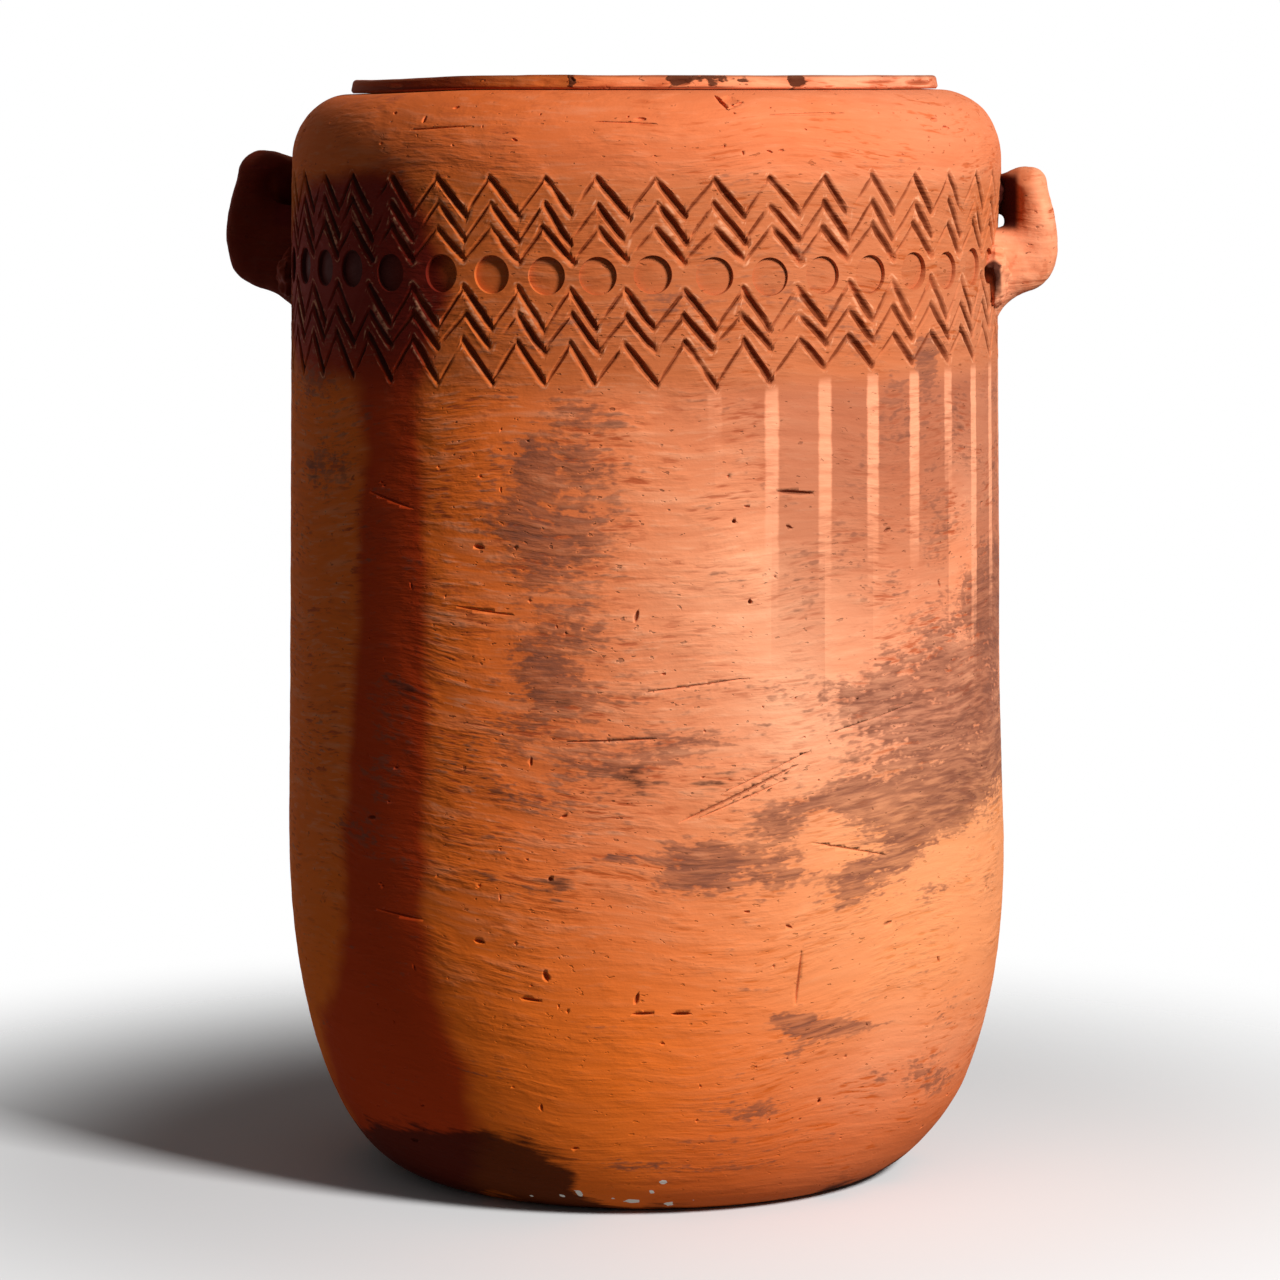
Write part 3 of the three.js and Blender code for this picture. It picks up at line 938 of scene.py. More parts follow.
strokes = mesh_object(
    "strokes",
    [(0, 0, 0)] * len(marks),
    [(i, i + 1) for i in range(len(marks)) if (i + 1) % steps],
    [],
    line=[mark[0] for mark in marks],
    knot=[mark[1] for mark in marks],
    share=[mark[2] for mark in marks],
    lift=[mark[3] for mark in marks],
    falling=[mark[4] for mark in marks],
    base=[band_lines[mark[0]][0] * mm for mark in marks],
    sway=[band_lines[mark[0]][1] * mm for mark in marks],
)

sides = 40
# radius and depth of the cane's end, from above the surface to the middle of its hollow face
cane_end = ((9.3, -1.5), (9.1, 0.1), (8.9, 0.6), (8.85, 2.5), (6.0, 2.45), (3.0, 2.1))
corners = [
    (-depth * mm, radius * mm * math.cos(k * math.tau / sides), radius * mm * math.sin(k * math.tau / sides))
    for radius, depth in cane_end
    for k in range(sides)
]
cane = tool_object("cane", [(corners, tube_faces(len(cane_end), sides))])

carving, given = new_tree(
    "carving",
    {
        "Strokes": ("Object", None),
        "Cane": ("Object", None),
        "Columns": ("Int", knots * stroke_columns),
        "Teeth": ("Int", repeats),
        "Falling Half Width": ("Float", 2.0 * mm),
        "Falling Depth": ("Float", 2.6 * mm),
        "Rising Half Width": ("Float", 1.1 * mm),
        "Rising Depth": ("Float", 1.4 * mm),
        "Burr": ("Float", 0.3 * mm),
        "Slip Along": ("Float", 0.07),
        "Slip Up": ("Float", 0.6 * mm),
        "Wobble": ("Float", 1.3 * mm),
        "Ridges": ("Float", 0.45 * mm),
        "Roughness": ("Float", 1.6 * mm),
        "Seed": ("Int", 3),
        "Clay": ("Material", None),
    },
)
half_tooth = math.tau / knots
disc_height = band_lines[4][0] * mm
unrolled_radius = outer_radius(456 * mm)
drift_bearing = math.radians(26)
drift_reach = math.radians(17)
drift = math.radians(1.3)


def drifted(angle):
    """An angle round the band, where the potter's spacing by eye ran ahead a little."""
    turn = (angle + math.pi).math("FLOORED_MODULO", math.tau)
    off = (turn - (math.pi + front - drift_bearing)) / drift_reach
    return angle + off.math("ABSOLUTE").rising(1.4, 0.2) * drift


def turn_of_line(line, knot, base, sway):
    """Where a zigzag line turns: its angle and height, a little off by hand if the line sways.

    On the right the three lines under the discs climb, the lowest of them the most.
    """
    identity = line * knots + knot.math("FLOORED_MODULO", knots)
    loose = (sway * 1e6).math("ABSOLUTE").math("MINIMUM", 1.0)
    slip = chance(identity, -1.0, 1.0, given["Seed"]) * given["Slip Along"] * loose
    lift = chance(identity, -1.0, 1.0, given["Seed"] + 1) * given["Slip Up"] * loose
    side = 1 - 2 * knot.math("FLOORED_MODULO", 2.0)
    right = (knot * half_tooth - front).math("SINE").rising(0.2, 0.6)
    climbing = right * base.rising(446 * mm, 442 * mm) * loose
    lowest = climbing * base.rising(425 * mm, 420 * mm)
    height = base + (climbing * 2.6 + lowest * 2.4) * mm + sway * side * (1 - lowest * 0.25) + lift
    return drifted((knot + slip) * half_tooth), height


band = swept(carving, given["Geometry"], given["Columns"])
stroke = number(band, "column") / stroke_columns
knot = (stroke + 1e-4).math("FLOOR")
along = stroke - knot
along = along - (along * math.tau).math("SINE") * (tip_crowding / math.tau)
here = []
for step, base, sway in ((0.0, "base", "sway"), (1.0, "next_base", "next_sway")):
    line = number(band, "line") + step
    start = turn_of_line(line, knot, number(band, base), number(band, sway))
    end = turn_of_line(line, knot + 1.0, number(band, base), number(band, sway))
    here.append([between(a, b, along) for a, b in zip(start, end)])
angle, height = (between(a, b, number(band, "share")) for a, b in zip(*here))
skin = number(band, "skin")
angle = between(drifted((knot + along) * half_tooth), angle, skin)
height = between(number(band, "height"), height, skin)

cuts = carving.node("GeometryNodeObjectInfo", {}, {"Object": given["Strokes"]}, "Geometry")
line, before, base, sway = (number(cuts, label) for label in ("line", "knot", "base", "sway"))
near, far = (turn_of_line(line, before + step, base, sway) for step in (0.0, 1.0))
index = carving.node("GeometryNodeInputIndex")
share = number(cuts, "share")
share = share + (share * 2 - 1) * chance(index, -0.05, 0.06, given["Seed"] + 2)
miss = chance(index, -0.35 * mm, 0.35 * mm, given["Seed"] + 3)
lift = number(cuts, "lift") + chance(index, 0.0, 1.0, given["Seed"] + 9) ** 6.0 * (1.5 * mm)
unrolled = between(near[0], far[0], share) * unrolled_radius + miss
cuts = moved(cuts, carving.combined(X=unrolled, Y=between(near[1], far[1], share), Z=lift))
flat = carving.combined(X=angle * unrolled_radius, Y=height)
ragged = flat.node("ShaderNodeTexNoise", {}, {"Vector": flat, "Scale": 330.0, "Detail": 2.0}) - 0.5
ease = flat.node("ShaderNodeTexNoise", {}, {"Vector": flat, "Scale": 60.0, "Detail": 1.0})
cut = 0.0
hump = 0.0
for side, selected, pushed in (("Falling", "Selection", 1.0), ("Rising", "Inverted", 0.3)):
    values = {"Geometry": cuts, "Selection": number(cuts, "falling").rising(0.4, 0.6)}
    some = carving.node("GeometryNodeSeparateGeometry", {"domain": "POINT"}, values, selected)
    values = {"Geometry": some, "Sample Position": flat}
    away = carving.node("GeometryNodeProximity", {"target_element": "EDGES"}, values, "Distance")
    away = away + ragged * (0.8 * mm)
    half_width = given[side + " Half Width"] * (ease * 0.4 + 0.8)
    groove = ((1 - away / half_width) * 1.5).math("MAXIMUM", 0.0).math("MINIMUM", 1.0)
    cut = (groove * given[side + " Depth"] * (ease * 0.6 + 0.7)).math("MAXIMUM", cut)
    raised = ((away - half_width * 1.4) / (0.75 * mm)).math("ABSOLUTE").rising(1.0, 0.0) * pushed
    hump = raised.math("MAXIMUM", hump)
cut = cut - hump * given["Burr"] * (ease * 1.2 + 0.2) * cut.rising(0.4 * mm, 0)
radius = between(number(band, "from_axis"), wall_at(height) - cut, skin)
band = moved(band, on_pot(radius, angle, height))

points = carving.node("GeometryNodePoints", {}, {"Count": given["Teeth"]})
index = carving.node("GeometryNodeInputIndex")
tooth = drifted((index + chance(index, -0.05, 0.05, given["Seed"] + 4)) / given["Teeth"] * math.tau)
row = chance(index, -0.8 * mm, 0.8 * mm, given["Seed"] + 5) + disc_height
depth = wall_at(row) - chance(index, -0.35 * mm, 0.25 * mm, given["Seed"] + 6)
points = moved(points, on_pot(depth, tooth, row))
lean = chance(index, -0.06, 0.06, given["Seed"] + 7)
nod = chance(index, -0.06, 0.06, given["Seed"] + 8)
turned = carving.combined(Y=nod, Z=tooth + lean)
tool = carving.node("GeometryNodeObjectInfo", {}, {"Object": given["Cane"]}, "Geometry")
values = {"Points": points, "Instance": tool, "Rotation": turned}
tools = carving.node("GeometryNodeInstanceOnPoints", {}, values)
tools = tools.node("GeometryNodeRealizeInstances", {}, {0: tools})
stamped = cut_away(edged(band), tools)
stamped = sharpened(stamped, stamped.node("GeometryNodeInputMeshEdgeAngle"), 0.7)
stamped = uneven(stamped, given["Wobble"], given["Ridges"], given["Roughness"])
close_tree(stamped, given["Clay"])

band_tone = srgb(172, 86, 38)
shoulder_tone = srgb(208, 102, 54)
carving_shade = srgb(110, 44, 14)
painted_groove_shadow = srgb(30, 3, 1)
clay = clay_ground("band_clay")
toned = clay.z.rising(392 * mm, 412 * mm) * clay.z.rising(511 * mm, 493 * mm)
colour = clay_colour(clay).under(band_tone, toned * 0.64)
colour = weathered(clay, colour.under(shoulder_tone, clay.z.rising(496 * mm, 511 * mm) * 0.6))
# paler on the burrs along the cuts: partly the clay's dust, partly a painted highlight on their lips
burr = how_sunk(clay).rising(-0.05 * mm, -0.3 * mm)
colour = colour.under(pale_clay, burr * clay.fleck.rising(0.35, 0.6) * 0.7)
groove = how_sunk(clay).rising(0.3 * mm, 1.1 * mm)
disc_row = (clay.z - disc_height).math("ABSOLUTE").rising(10 * mm, 8.5 * mm)
# the grooves darkened, less in the row of discs: painted shade, deeper than the lamps give
groove_shade = groove * (clay.patchy.rising(0.3, 0.6) * 0.3 + 0.58) * (1 - disc_row * 0.85)
colour = colour.under(carving_shade, groove_shade * (1 - clay.scrape.rising(0.5, 0.7) * 0.35))
# the grooves near-black on the far left: painted shadow
colour = colour.under(painted_groove_shadow, groove * clay.side.rising(-0.6, -0.72) * 0.9)
band_clay = fired(clay, colour, clay_relief(clay))
plain(carved_wall, carving.tree, strokes=strokes, cane=cane, clay=band_clay)
dressed(carved_wall, "carved_wall")
for helper in (strokes, cane):
    bpy.data.objects.remove(helper)

# Shoulder: a coil pulled in over the carved wall and smoothed into it with a wet rib. Its top is the
# seat of the rim, and its underside, out of reach of the rib, shows finger marks.
collar_seam = 543 * mm
collar_radius = 146.8 * mm
collar_thickness = 13 * mm
neck_inner = collar_radius - collar_thickness
inner_rise = collar_seam - wall_thickness - upper_seam - bevel_rise
inner_reach = inner_radius(upper_seam) - neck_inner
under_shoulder = [
    (neck_inner + inner_reach * math.cos(t), upper_seam + bevel_rise + inner_rise * math.sin(t))
    for t in np.linspace(math.pi / 2, 0, 60)
]
over_shoulder = []
for t in np.linspace(math.asin((upper_seam - shoulder_start) / shoulder_height), math.pi / 2, 200):
    height = shoulder_start + shoulder_height * math.sin(t)
    over_shoulder.append((outer_radius(height), height))
shoulder = closed_line(
    "shoulder_clay",
    ("joint", [under_shoulder[-1], over_shoulder[0]]),
    ("skin", spaced(over_shoulder, 1.0 * mm)),
    ("joint", [over_shoulder[-1], (neck_inner, collar_seam)]),
    ("inside", spaced([(neck_inner, collar_seam), *under_shoulder], 3 * mm)),
)
clay = clay_ground("shoulder_clay")
colour = clay_colour(clay).under(shoulder_tone, 0.6)
shoulder_clay = fired(clay, colour, clay_relief(clay))
shoulder_nicks = (
    ((11.9, 540), (13.6, 533.2), 1.3, 3.2),
    ((12.8, 538.2), (15.6, 537.6), 2.2, 1.5),
    ((13.3, 533.8), (16.4, 537), 0.8, 2.0),
    ((-8, 528), (2, 527), 0.5, 0.8),
    ((20, 531), (34, 532), 0.5, 0.8),
    ((-40, 524), (-28, 526), 0.5, 0.9),
)
nicks = tool_object("nicks", [gouge(*mark) for mark in shoulder_nicks])
plain(
    shoulder,
    turning.tree,
    clay=shoulder_clay,
    marks=nicks,
    pits=60,
    pits_from=upper_seam,
    pits_to=535 * mm,
    seed=9,
)
bpy.data.objects.remove(nicks)
dressed(shoulder, "shoulder")

# Rim collar: the last coil, set on the shoulder as a low rim and cut level by eye. Its lip is worn and
# chipped, and a dark seam runs round its foot where the coil was never quite smoothed in.
overall_height = 549.9 * mm
lip_rounding = 2 * mm
lip_radius = collar_radius - 0.7 * mm
collar_foot = collar_radius - 0.9 * mm
foot_rounding = 1.2 * mm
shaded_clay = srgb(96, 22, 8)
seam_dirt = srgb(84, 28, 14)
worn_clay = srgb(170, 84, 30)
scar_clay = srgb(178, 84, 48)
chip_dirt = srgb(70, 32, 16)
corner = [
    (lip_radius - lip_rounding * (1 - math.cos(t)), overall_height - lip_rounding * (1 - math.sin(t)))
    for t in np.linspace(0, math.pi / 2, 7)
]
inner_corner = [
    (neck_inner + lip_rounding * (1 - math.sin(t)), overall_height - lip_rounding * (1 - math.cos(t)))
    for t in np.linspace(0, math.pi / 2, 7)
]
collar_skin = [(collar_foot, collar_seam), (collar_radius, collar_seam + foot_rounding), *corner]
collar = closed_line(
    "rim_collar_clay",
    ("joint", [(neck_inner, collar_seam), (collar_foot, collar_seam)]),
    ("skin", spaced(collar_skin, 0.7 * mm)),
    ("inside", spaced([corner[-1], *inner_corner, (neck_inner, collar_seam)], 0.9 * mm)),
)
worn_spots = (
    (-24, 547, 10, 9, 0.9),
    (-15, 545, 2, 9, 0.7),
)
rough_spots = (
    (6.5, 548, 2.6, 4, 1.0),
    (13, 547.5, 5, 4, 0.6),
    (19.5, 547, 2.5, 3, 0.5),
    (29.6, 547, 2.2, 4.5, 1.0),
    (-13.6, 548, 0.9, 4, 0.9),
)
clay = clay_ground("rim_clay")
sunk = how_sunk(clay)
colour = clay_colour(clay).under(red_clay, clay.patchy.rising(0.45, 0.6) * 0.5)
colour = colour.under(shaded_clay, clay.side.rising(-0.35, -0.62) * 0.85)
seam = (clay.z + (clay.patchy - 0.5) * (2.4 * mm)).rising(collar_seam + 1.8 * mm, collar_seam + 0.6 * mm)
colour = colour.under(seam_dirt, seam * (1 - clay.side.rising(0.2, 0.36)) * 0.85)
colour = colour.under(worn_clay, covered(clay, worn_spots) * 0.7)
# the collar leans in by this much, so a scar in it is what lies deeper than that
lean = (clay.z - collar_seam - foot_rounding) * 0.19 + neck_radius - collar_radius
scarred = (sunk - lean).rising(0.3 * mm, 0.65 * mm) * clay.z.rising(548.3 * mm, 547.8 * mm)
colour = colour.under(scar_clay, scarred * 0.85)
chipped = sunk.rising(2.0 * mm, 2.7 * mm) * clay.z.rising(collar_seam + 0.5 * mm, collar_seam + foot_rounding)
rough = (covered(clay, rough_spots) + (clay.fleck - 0.5) * 1.8 + (clay.patchy - 0.5)).rising(0.45, 0.7)
colour = colour.under(chip_dirt, (chipped * 0.5 + rough).math("MINIMUM", 1.0) * 0.92)
rim_clay = fired(clay, colour, clay_relief(clay) + clay.fleck * rough * (0.8 * mm))


def collar_surface(z):
    """The collar's radius, which is the same at every height."""
    return collar_radius


# start and end as bearing and height, half width, depth
rim_chips = (
    ((3.8, 547.4), (9.2, 547.2), 3.2, 1.9),
    ((8.8, 549.2), (10.6, 549.4), 1.6, 1.6),
    ((11.0, 547.4), (14.6, 546.8), 1.9, 1.0),
    ((14.2, 549.0), (17.6, 548.8), 1.5, 1.1),
    ((17.2, 547.2), (21.6, 546.8), 1.6, 1.0),
    ((27.4, 547.0), (32.0, 547.0), 3.8, 2.1),
    ((35.4, 544.2), (38.4, 544.2), 0.6, 0.7),
    ((42.2, 546.0), (60.0, 547.0), 1.3, 1.1),
    ((58.0, 546.0), (77.0, 546.0), 1.7, 1.2),
    ((82.0, 548.6), (83.0, 544.5), 0.9, 1.8),
    ((-14.2, 549.4), (-13.0, 546.4), 1.0, 1.5),
    ((-22.0, 548.6), (-17.5, 546.2), 2.6, 0.9),
    ((-17.5, 547.2), (-13.6, 546.8), 2.2, 0.8),
    ((-34.0, 547.8), (-22.5, 546.8), 2.4, 0.9),
    ((-36.0, 548.4), (-30.0, 547.6), 1.6, 0.9),
    ((-60.0, 547.0), (-52.0, 546.4), 1.8, 0.9),
    ((120, 548.6), (127, 548.0), 2.0, 1.3),
    ((171, 549.2), (176, 548.8), 1.8, 1.4),
    ((228, 548.6), (236, 547.6), 2.2, 1.2),
)
chips = tool_object("chips", [gouge(*mark, surface=collar_surface) for mark in rim_chips])
plain(
    collar,
    turning.tree,
    clay=rim_clay,
    marks=chips,
    wobble=0.8 * mm,
    ridges=0.3 * mm,
    roughness=0.5 * mm,
    wear=1.0,
)
bpy.data.objects.remove(chips)
dressed(collar, "rim_collar")

# Loop handles: each a thick coil of clay bent into an ear, thickest at its elbow, with both ends pressed
# into the wall. They were made by eye, so the left one stands out further and sits higher.
stamp_row = 456.5 * mm
handle_width = 25 * mm
grip_thickness = 21 * mm
upper_leg = 16 * mm
lower_leg = 34 * mm
arch_drop = 4.5 * mm
leg_depth = 7 * mm  # how far a leg runs into the wall


def bezier(start, first, second, end, steps=16):
    """Points along a curve between two ends, drawn to two handles."""
    t = np.linspace(0, 1, steps)[:, None]
    p = [np.array(point, float) for point in (start, first, second, end)]
    curve = (1 - t) ** 3 * p[0] + 3 * t * (1 - t) ** 2 * p[1] + 3 * t**2 * (1 - t) * p[2] + t**3 * p[3]
    return [tuple(point) for point in curve]


def rooted(curves):
    """A line from inside the wall, along curves that follow each other, and into the wall again."""
    (_, low), (_, high) = curves[0][0], curves[-1][-1]
    points = [(-leg_depth, low), curves[0][0]]
    for curve in curves:
        points += bezier(*curve)[1:]
    return [*points, (-leg_depth, high)]


def ear_edges(reach, top, bottom, flare, gap, gap_bottom, gap_top):
    """The outer and the inner edge of an ear in side view, from its lower root round to its upper."""
    rise = top - bottom
    widest = bottom + 0.45 * rise
    upper_root = top - arch_drop
    brow = (0.82 * reach, top - 0.13 * rise)
    elbow = (0.43 * reach, bottom + 0.09 * rise)
    outer = (
        ((0, bottom - flare), (2 * mm, bottom - 1.5 * mm), (0.23 * reach, bottom + 0.06 * rise), elbow),
        (elbow, (0.7 * reach, bottom + 0.125 * rise), (reach, bottom + 0.17 * rise), (reach, widest)),
        ((reach, widest), (reach, widest + 0.16 * rise), (0.86 * reach, widest + 0.28 * rise), brow),
        (brow, (0.79 * reach, top - 0.04 * rise), (0.64 * reach, top), (0.44 * reach, top)),
        ((0.44 * reach, top), (0.24 * reach, top), (0.17 * reach, upper_root), (0, upper_root)),
    )
    bend = 0.3 * (gap_top - gap_bottom)
    middle = (gap_top + gap_bottom) / 2
    inner = (
        ((0, gap_bottom), (0.8 * gap, gap_bottom), (gap, gap_bottom + bend), (gap, middle)),
        ((gap, middle), (gap, gap_top - bend), (0.8 * gap, gap_top), (0, gap_top)),
    )
    return rooted(outer), rooted(inner)


def ear(name, handle):
    """A coil swept between the edges of an ear, its upper leg at the rear, its lower leg leaning forward."""
    stations = 64
    shares = np.linspace(0, 1, stations)
    edges = []
    for gap in (handle.front_gap, handle.rear_gap):
        for line in ear_edges(handle.reach, handle.top, handle.bottom, handle.flare, *gap):
            line = np.array(spaced(line, 0.2 * mm))
            edges.append(line[(shares * (len(line) - 1)).round().astype(int)])
    outer, front_inner, _, rear_inner = edges
    around = 32
    cosine = math.cos(handle.turn)
    sine = math.sin(handle.turn)
    vertices = []
    for station, share in enumerate(shares):
        lower_pull = max(0.0, 1 - share / 0.28)
        upper_pull = min(1.0, max(0.0, 1 - (1 - share) / 0.3) * 1.3)
        shift = handle.toward * mm * (3 * lower_pull - 5.2 * upper_pull)
        half = handle_width / 2 * (1 + 0.2 * lower_pull - 0.42 * upper_pull)
        for k in range(around):
            t = k * math.tau / around
            c = math.copysign(abs(math.cos(t)) ** 0.85, math.cos(t))
            s = math.copysign(abs(math.sin(t)) ** 0.85, math.sin(t))
            forward = min(1.0, max(0.0, 0.5 + handle.toward * s * 1.1))
            inner = rear_inner[station] + (front_inner[station] - rear_inner[station]) * forward
            out, up = (outer[station] + inner) / 2 + (outer[station] - inner) / 2 * c
            side = shift + half * s
            x = wall + out
            place = (x * cosine - side * sine, x * sine + side * cosine, stamp_row + up)
            vertices.append(place)
    return mesh_object(name, vertices, [], tube_faces(stations, around))


wall = outer_radius(stamp_row) - 0.6 * mm
pinching, given = new_tree(
    "pinching",
    {
        "Grain": ("Float", 0.9 * mm),
        "Swell": ("Float", 1.2 * mm),
        "Crumbs": ("Float", 0.0),
        "Clay": ("Material", None),
    },
)
lump = given["Geometry"]
place = lump.node("GeometryNodeInputPosition")
swell = (place.noise(45, 45, 2) - 0.62) * given["Swell"] * 2.0
prints = (place.noise(140, 170, 2, shift=4) - 0.62) * given["Grain"]
cells = lump.node("ShaderNodeTexVoronoi", {"feature": "SMOOTH_F1"}, {"Vector": place, "Scale": 210.0})
crumb = (0.4 - cells) * given["Crumbs"]
push = lump.node("GeometryNodeInputNormal").scaled(swell + prints + crumb)
close_tree(moved(lump, offset=push), given["Clay"])


def pinched(piece, clay, grid=0.8 * mm, **sizes):
    """Remakes a rough shape as one even skin, softens it, and presses fingers into it."""
    remade = piece.modifiers.new("even", "REMESH")
    remade.mode = "VOXEL"
    remade.voxel_size = grid
    softened = piece.modifiers.new("soft", "SMOOTH")
    softened.factor = 0.5
    softened.iterations = 6
    plain(piece, pinching.tree, clay=clay, **sizes)


hollow_edge_shade = srgb(164, 80, 36)
hollow_painted_shadow = srgb(52, 4, 2)
crack_painted_shadow = srgb(44, 5, 2)
left_handle_shade = srgb(80, 8, 3)


def handle_finish(name, crumbly):
    """The clay of the handles and of the soft clay that they are luted on with, with painted shade in the
    hollows behind the coils, in the right lower wad's crack and over the front of the left handle.
    """
    clay = clay_ground(name)
    speckle = clay.place.noise(160, 160, 3, shift=11)
    colour = clay_colour(clay).under(pale_clay, speckle.rising(0.5, 0.7) * (0.3 + 0.3 * crumbly))
    colour = colour.under(red_clay, speckle.rising(0.42, 0.3) * (0.4 + 0.3 * crumbly))
    # painted shade in the hollow between coil and wall: a black painted shadow inside and brown painted shade
    # round its edge
    away = clay.x.math("ABSOLUTE")
    fore = clay.y.rising(16 * mm, 10 * mm)
    edge = away.rising(198 * mm, 189 * mm) * fore
    edge = edge * clay.z.rising(470 * mm, 478 * mm) * clay.z.rising(511 * mm, 502 * mm)
    colour = colour.under(hollow_edge_shade, edge * 0.6)
    hollow = away.rising(188.8 * mm, 185 * mm) * fore
    hollow = hollow * clay.z.rising(472 * mm, 476 * mm) * clay.z.rising(506 * mm, 498 * mm)
    colour = colour.under(hollow_painted_shadow, hollow * 0.97)
    # a painted shadow in the crack where the edge of the right handle's lower wad stands off the wall
    crack = clay.radius.rising(182.6 * mm, 181.6 * mm) * clay.y.rising(-23 * mm, -28 * mm)
    crack = crack * clay.x.rising(0, 1 * mm) * clay.z.rising(463 * mm, 458 * mm)
    colour = colour.under(crack_painted_shadow, crack * 0.94)
    # the front of the left handle and its wads darkened: painted shade
    left_in_shade = clay.x.rising(-160 * mm, -172 * mm) * clay.y.rising(14 * mm, -6 * mm)
    colour = colour.under(left_handle_shade, left_in_shade * 0.95)
    relief = clay_relief(clay) + speckle * ((0.3 + 0.6 * crumbly) * mm)
    return fired(clay, colour, relief)


handle_clay = handle_finish("handle_clay", 0)
luting_clay = handle_finish("luting_clay", 1)
# each gap between coil and wall as its width, foot and top, at the side seen first and at the rear
right = SimpleNamespace(
    name="right",
    turn=0.0,
    reach=30.2 * mm,
    top=49 * mm,
    bottom=-21 * mm,
    flare=7 * mm,
    toward=-1,
    front_gap=(9.6 * mm, 18 * mm, 42 * mm),
    rear_gap=(0.8 * mm, 18 * mm, 23 * mm),
)
left = SimpleNamespace(
    name="left",
    turn=math.pi,
    reach=36.8 * mm,
    top=56 * mm,
    bottom=-22.5 * mm,
    flare=4 * mm,
    toward=1,
    front_gap=(14 * mm, 30 * mm, 47 * mm),
    rear_gap=(5 * mm, 13 * mm, 23 * mm),
)
for handle in (right, left):
    piece = ear(handle.name + "_handle_clay", handle)
    pinched(piece, handle_clay)
    dressed(piece, handle.name + "_handle")

# Wads: soft clay pressed round each root of a handle with the fingers to lute it on. It was left as it
# fell, so it is crumbly and its edge stands a little off the wall.
wad_spread = 5 * mm
wad_depth = 5 * mm  # how far a wad runs into the wall


def wad(name, turn, low, high, toward, spread, thickness):
    """A flattened mound on the wall round one leg, spread further on one side."""
    around = 40
    rings = 7
    half_height = (high - low) / 2 + wad_spread
    vertices = []
    for ring in range(rings + 1):
        share = ring / rings
        for k in range(around):
            t = k * math.tau / around
            ragged = 1 + 0.07 * math.sin(3 * t + 1) + 0.05 * math.sin(7 * t) + 0.04 * math.sin(11 * t + 2)
            side = math.cos(t) * (handle_width / 2 + wad_spread) * ragged * share
            if side * toward > 0:
                side *= spread
            up = math.sin(t) * half_height * ragged * share
            free = max(0.0, math.cos(t) * toward) * max(0.0, spread - 1)
            out = thickness * math.sqrt(max(0.0, 1 - share**2)) + (5.5 * free - 1.5) * mm * share
            angle = turn + side / wall
            height = stamp_row + (low + high) / 2 + up
            radius = wall + out
            vertices.append((radius * math.cos(angle), radius * math.sin(angle), height))
        if ring == 0:
            vertices = vertices[:1]
    count = len(vertices)
    seat = wall - wad_depth
    for x, y, z in vertices[1:]:
        aside = math.remainder(math.atan2(y, x) - turn, math.tau)
        angle = turn + aside * (1 if aside * toward < 0 else 1 - 0.22 * max(0.0, spread - 1))
        vertices.append((seat * math.cos(angle), seat * math.sin(angle), z))
    x, y, z = vertices[0]
    vertices.append((x * seat / math.hypot(x, y), y * seat / math.hypot(x, y), z))

    def at(ring, k, under):
        """The number of a point of the mound, or of the one under it in the wall."""
        if ring == 0:
            return len(vertices) - 1 if under else 0
        return 1 + (ring - 1) * around + k % around + (count - 1 if under else 0)

    faces = []
    for under in (False, True):
        for k in range(around):
            fan = (at(0, 0, under), at(1, k, under), at(1, k + 1, under))
            faces.append(fan[::-1] if under else fan)
            for ring in range(1, rings):
                corners = ((ring, k), (ring + 1, k), (ring + 1, k + 1), (ring, k + 1))
                quad = tuple(at(*corner, under) for corner in corners)
                faces.append(quad[::-1] if under else quad)
    for k in range(around):
        corners = ((k + 1, False), (k, False), (k, True), (k + 1, True))
        faces.append(tuple(at(rings, *corner) for corner in corners))
    return mesh_object(name, vertices, [], faces)


for handle in (right, left):
    upper_root = handle.top - arch_drop
    legs = (
        ("upper_wad", upper_root - upper_leg, upper_root - 2 * mm, 0.25, 3.5 * mm),
        ("lower_wad", handle.bottom + 3 * mm, handle.bottom + lower_leg - 7 * mm, 1.85, 7 * mm),
    )
    for label, low, high, spread, thickness in legs:
        node = handle.name + "_" + label
        piece = wad(node + "_clay", handle.turn, low, high, handle.toward, spread, thickness)
        pinched(piece, luting_clay, crumbs=3.2 * mm, swell=1.6 * mm)
        dressed(piece, node)

# Floor: a plain pale disc of ground that fades into the white round it and keeps the planter's shadow.
ground_radius = 1200 * mm
ground_sides = 64
pale_grey = (0.85, 0.85, 0.85, 1)
dim_grey = (0.3, 0.3, 0.3, 1)  # what the ground throws back on the pot
turns = [k * math.tau / ground_sides for k in range(ground_sides)]
ground = mesh_object(
    "ground",
    [(ground_radius * math.cos(turn), ground_radius * math.sin(turn), 0) for turn in turns],
    [],
    [tuple(range(ground_sides))],
)
material = bpy.data.materials.new("pale_ground")
wire = blank(material)
place = wire.node("ShaderNodeTexCoord", out="Object")
span = place.vector("LENGTH", (0, 0, 0), 1)
tone = wire.mixing(wire.node("ShaderNodeLightPath", out="Is Camera Ray"), dim_grey, pale_grey)
shader = wire.node("ShaderNodeBsdfDiffuse", {}, {"Color": tone})
clear = wire.node("ShaderNodeBsdfTransparent")
mixed = wire.node("ShaderNodeMixShader", {}, {0: span.rising(0.24, 0.62), 1: shader, 2: clear})
wire.node("ShaderNodeOutputMaterial", {}, {"Surface": mixed})
ground.data.materials.append(material)

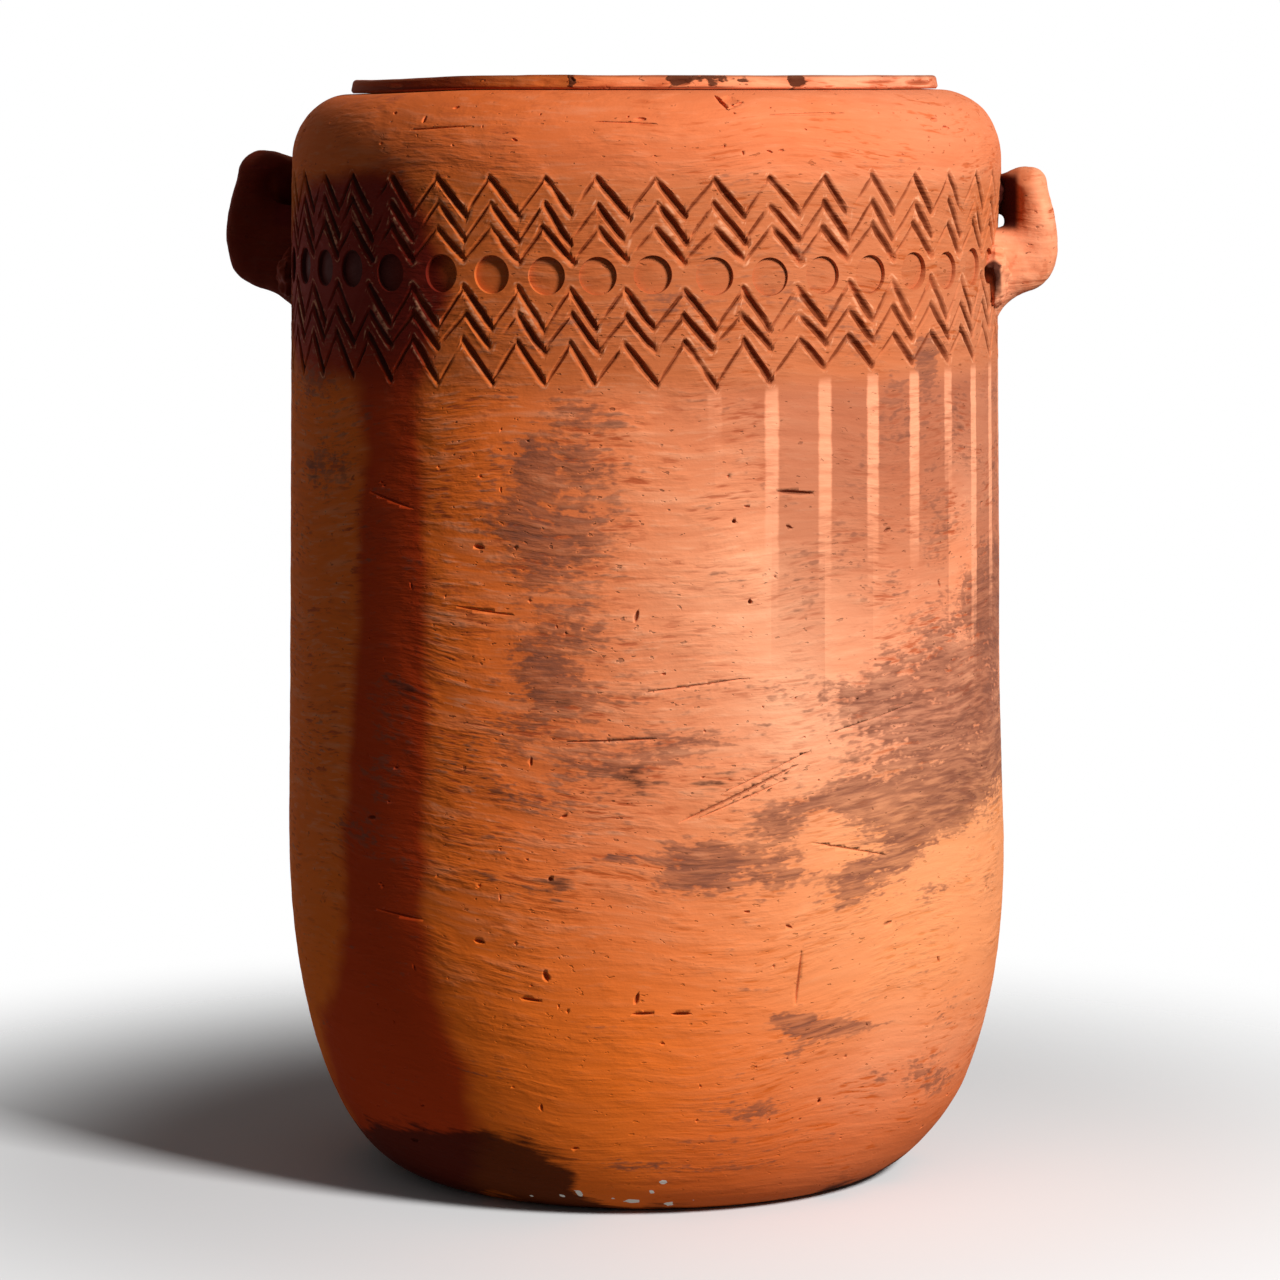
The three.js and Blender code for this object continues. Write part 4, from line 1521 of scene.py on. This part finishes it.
# Light: one soft lamp to the right of the camera, and a weak even light from all round.
world = bpy.data.worlds.new("studio")
bpy.context.scene.world = world
wire = blank(world)
straight, mirrored, passed = (
    wire.node("ShaderNodeLightPath", out=f"Is {kind} Ray") for kind in ("Camera", "Glossy", "Transmission")
)
seen = (straight + mirrored + passed).math("MINIMUM", 1.0)
fill_strength = 0.086
strength = seen * (1 - fill_strength) + fill_strength
background = wire.node("ShaderNodeBackground", {}, {"Color": (1, 1, 1, 1), "Strength": strength})
wire.node("ShaderNodeOutputWorld", {}, {"Surface": background})

camera_azimuth = math.radians(7.5)
lamp_azimuth = camera_azimuth + math.radians(43)
lamp_elevation = math.radians(31)
lamp_distance = 2.6
lamp_strength = 1.3
lamp = bpy.data.lights.new("key", "AREA")
lamp.shape = "SQUARE"
lamp.size = 0.5
lamp.energy = lamp_strength * math.pi**2 * lamp_distance**2
key = bpy.data.objects.new("key", lamp)
bpy.context.scene.collection.objects.link(key)


def seen_from(obj, target, azimuth, elevation, distance):
    """Puts a lamp or camera at an azimuth from the front, an elevation and a distance, facing a point."""
    flat = distance * math.cos(elevation)
    obj.location = (
        target[0] + flat * math.sin(azimuth),
        target[1] - flat * math.cos(azimuth),
        target[2] + distance * math.sin(elevation),
    )
    obj.rotation_euler = (math.pi / 2 - elevation, 0, azimuth)


seen_from(key, (0, 0, 0.28), lamp_azimuth, lamp_elevation, lamp_distance)

# Camera: a long lens a little above the planter's middle, turned slightly towards the right handle.
aim_height = 265.7 * mm
aim_left = 2.3 * mm
camera_elevation = math.radians(6.713)
camera_distance = 2428.8 * mm
camera = bpy.data.cameras.new("camera")
camera.lens = 135
camera.sensor_width = 36
viewer = bpy.data.objects.new("camera", camera)
bpy.context.scene.collection.objects.link(viewer)
aim = (-aim_left * math.cos(camera_azimuth), -aim_left * math.sin(camera_azimuth), aim_height)
seen_from(viewer, aim, camera_azimuth, camera_elevation, camera_distance)
bpy.context.scene.camera = viewer
bpy.context.scene.view_settings.view_transform = "Standard"
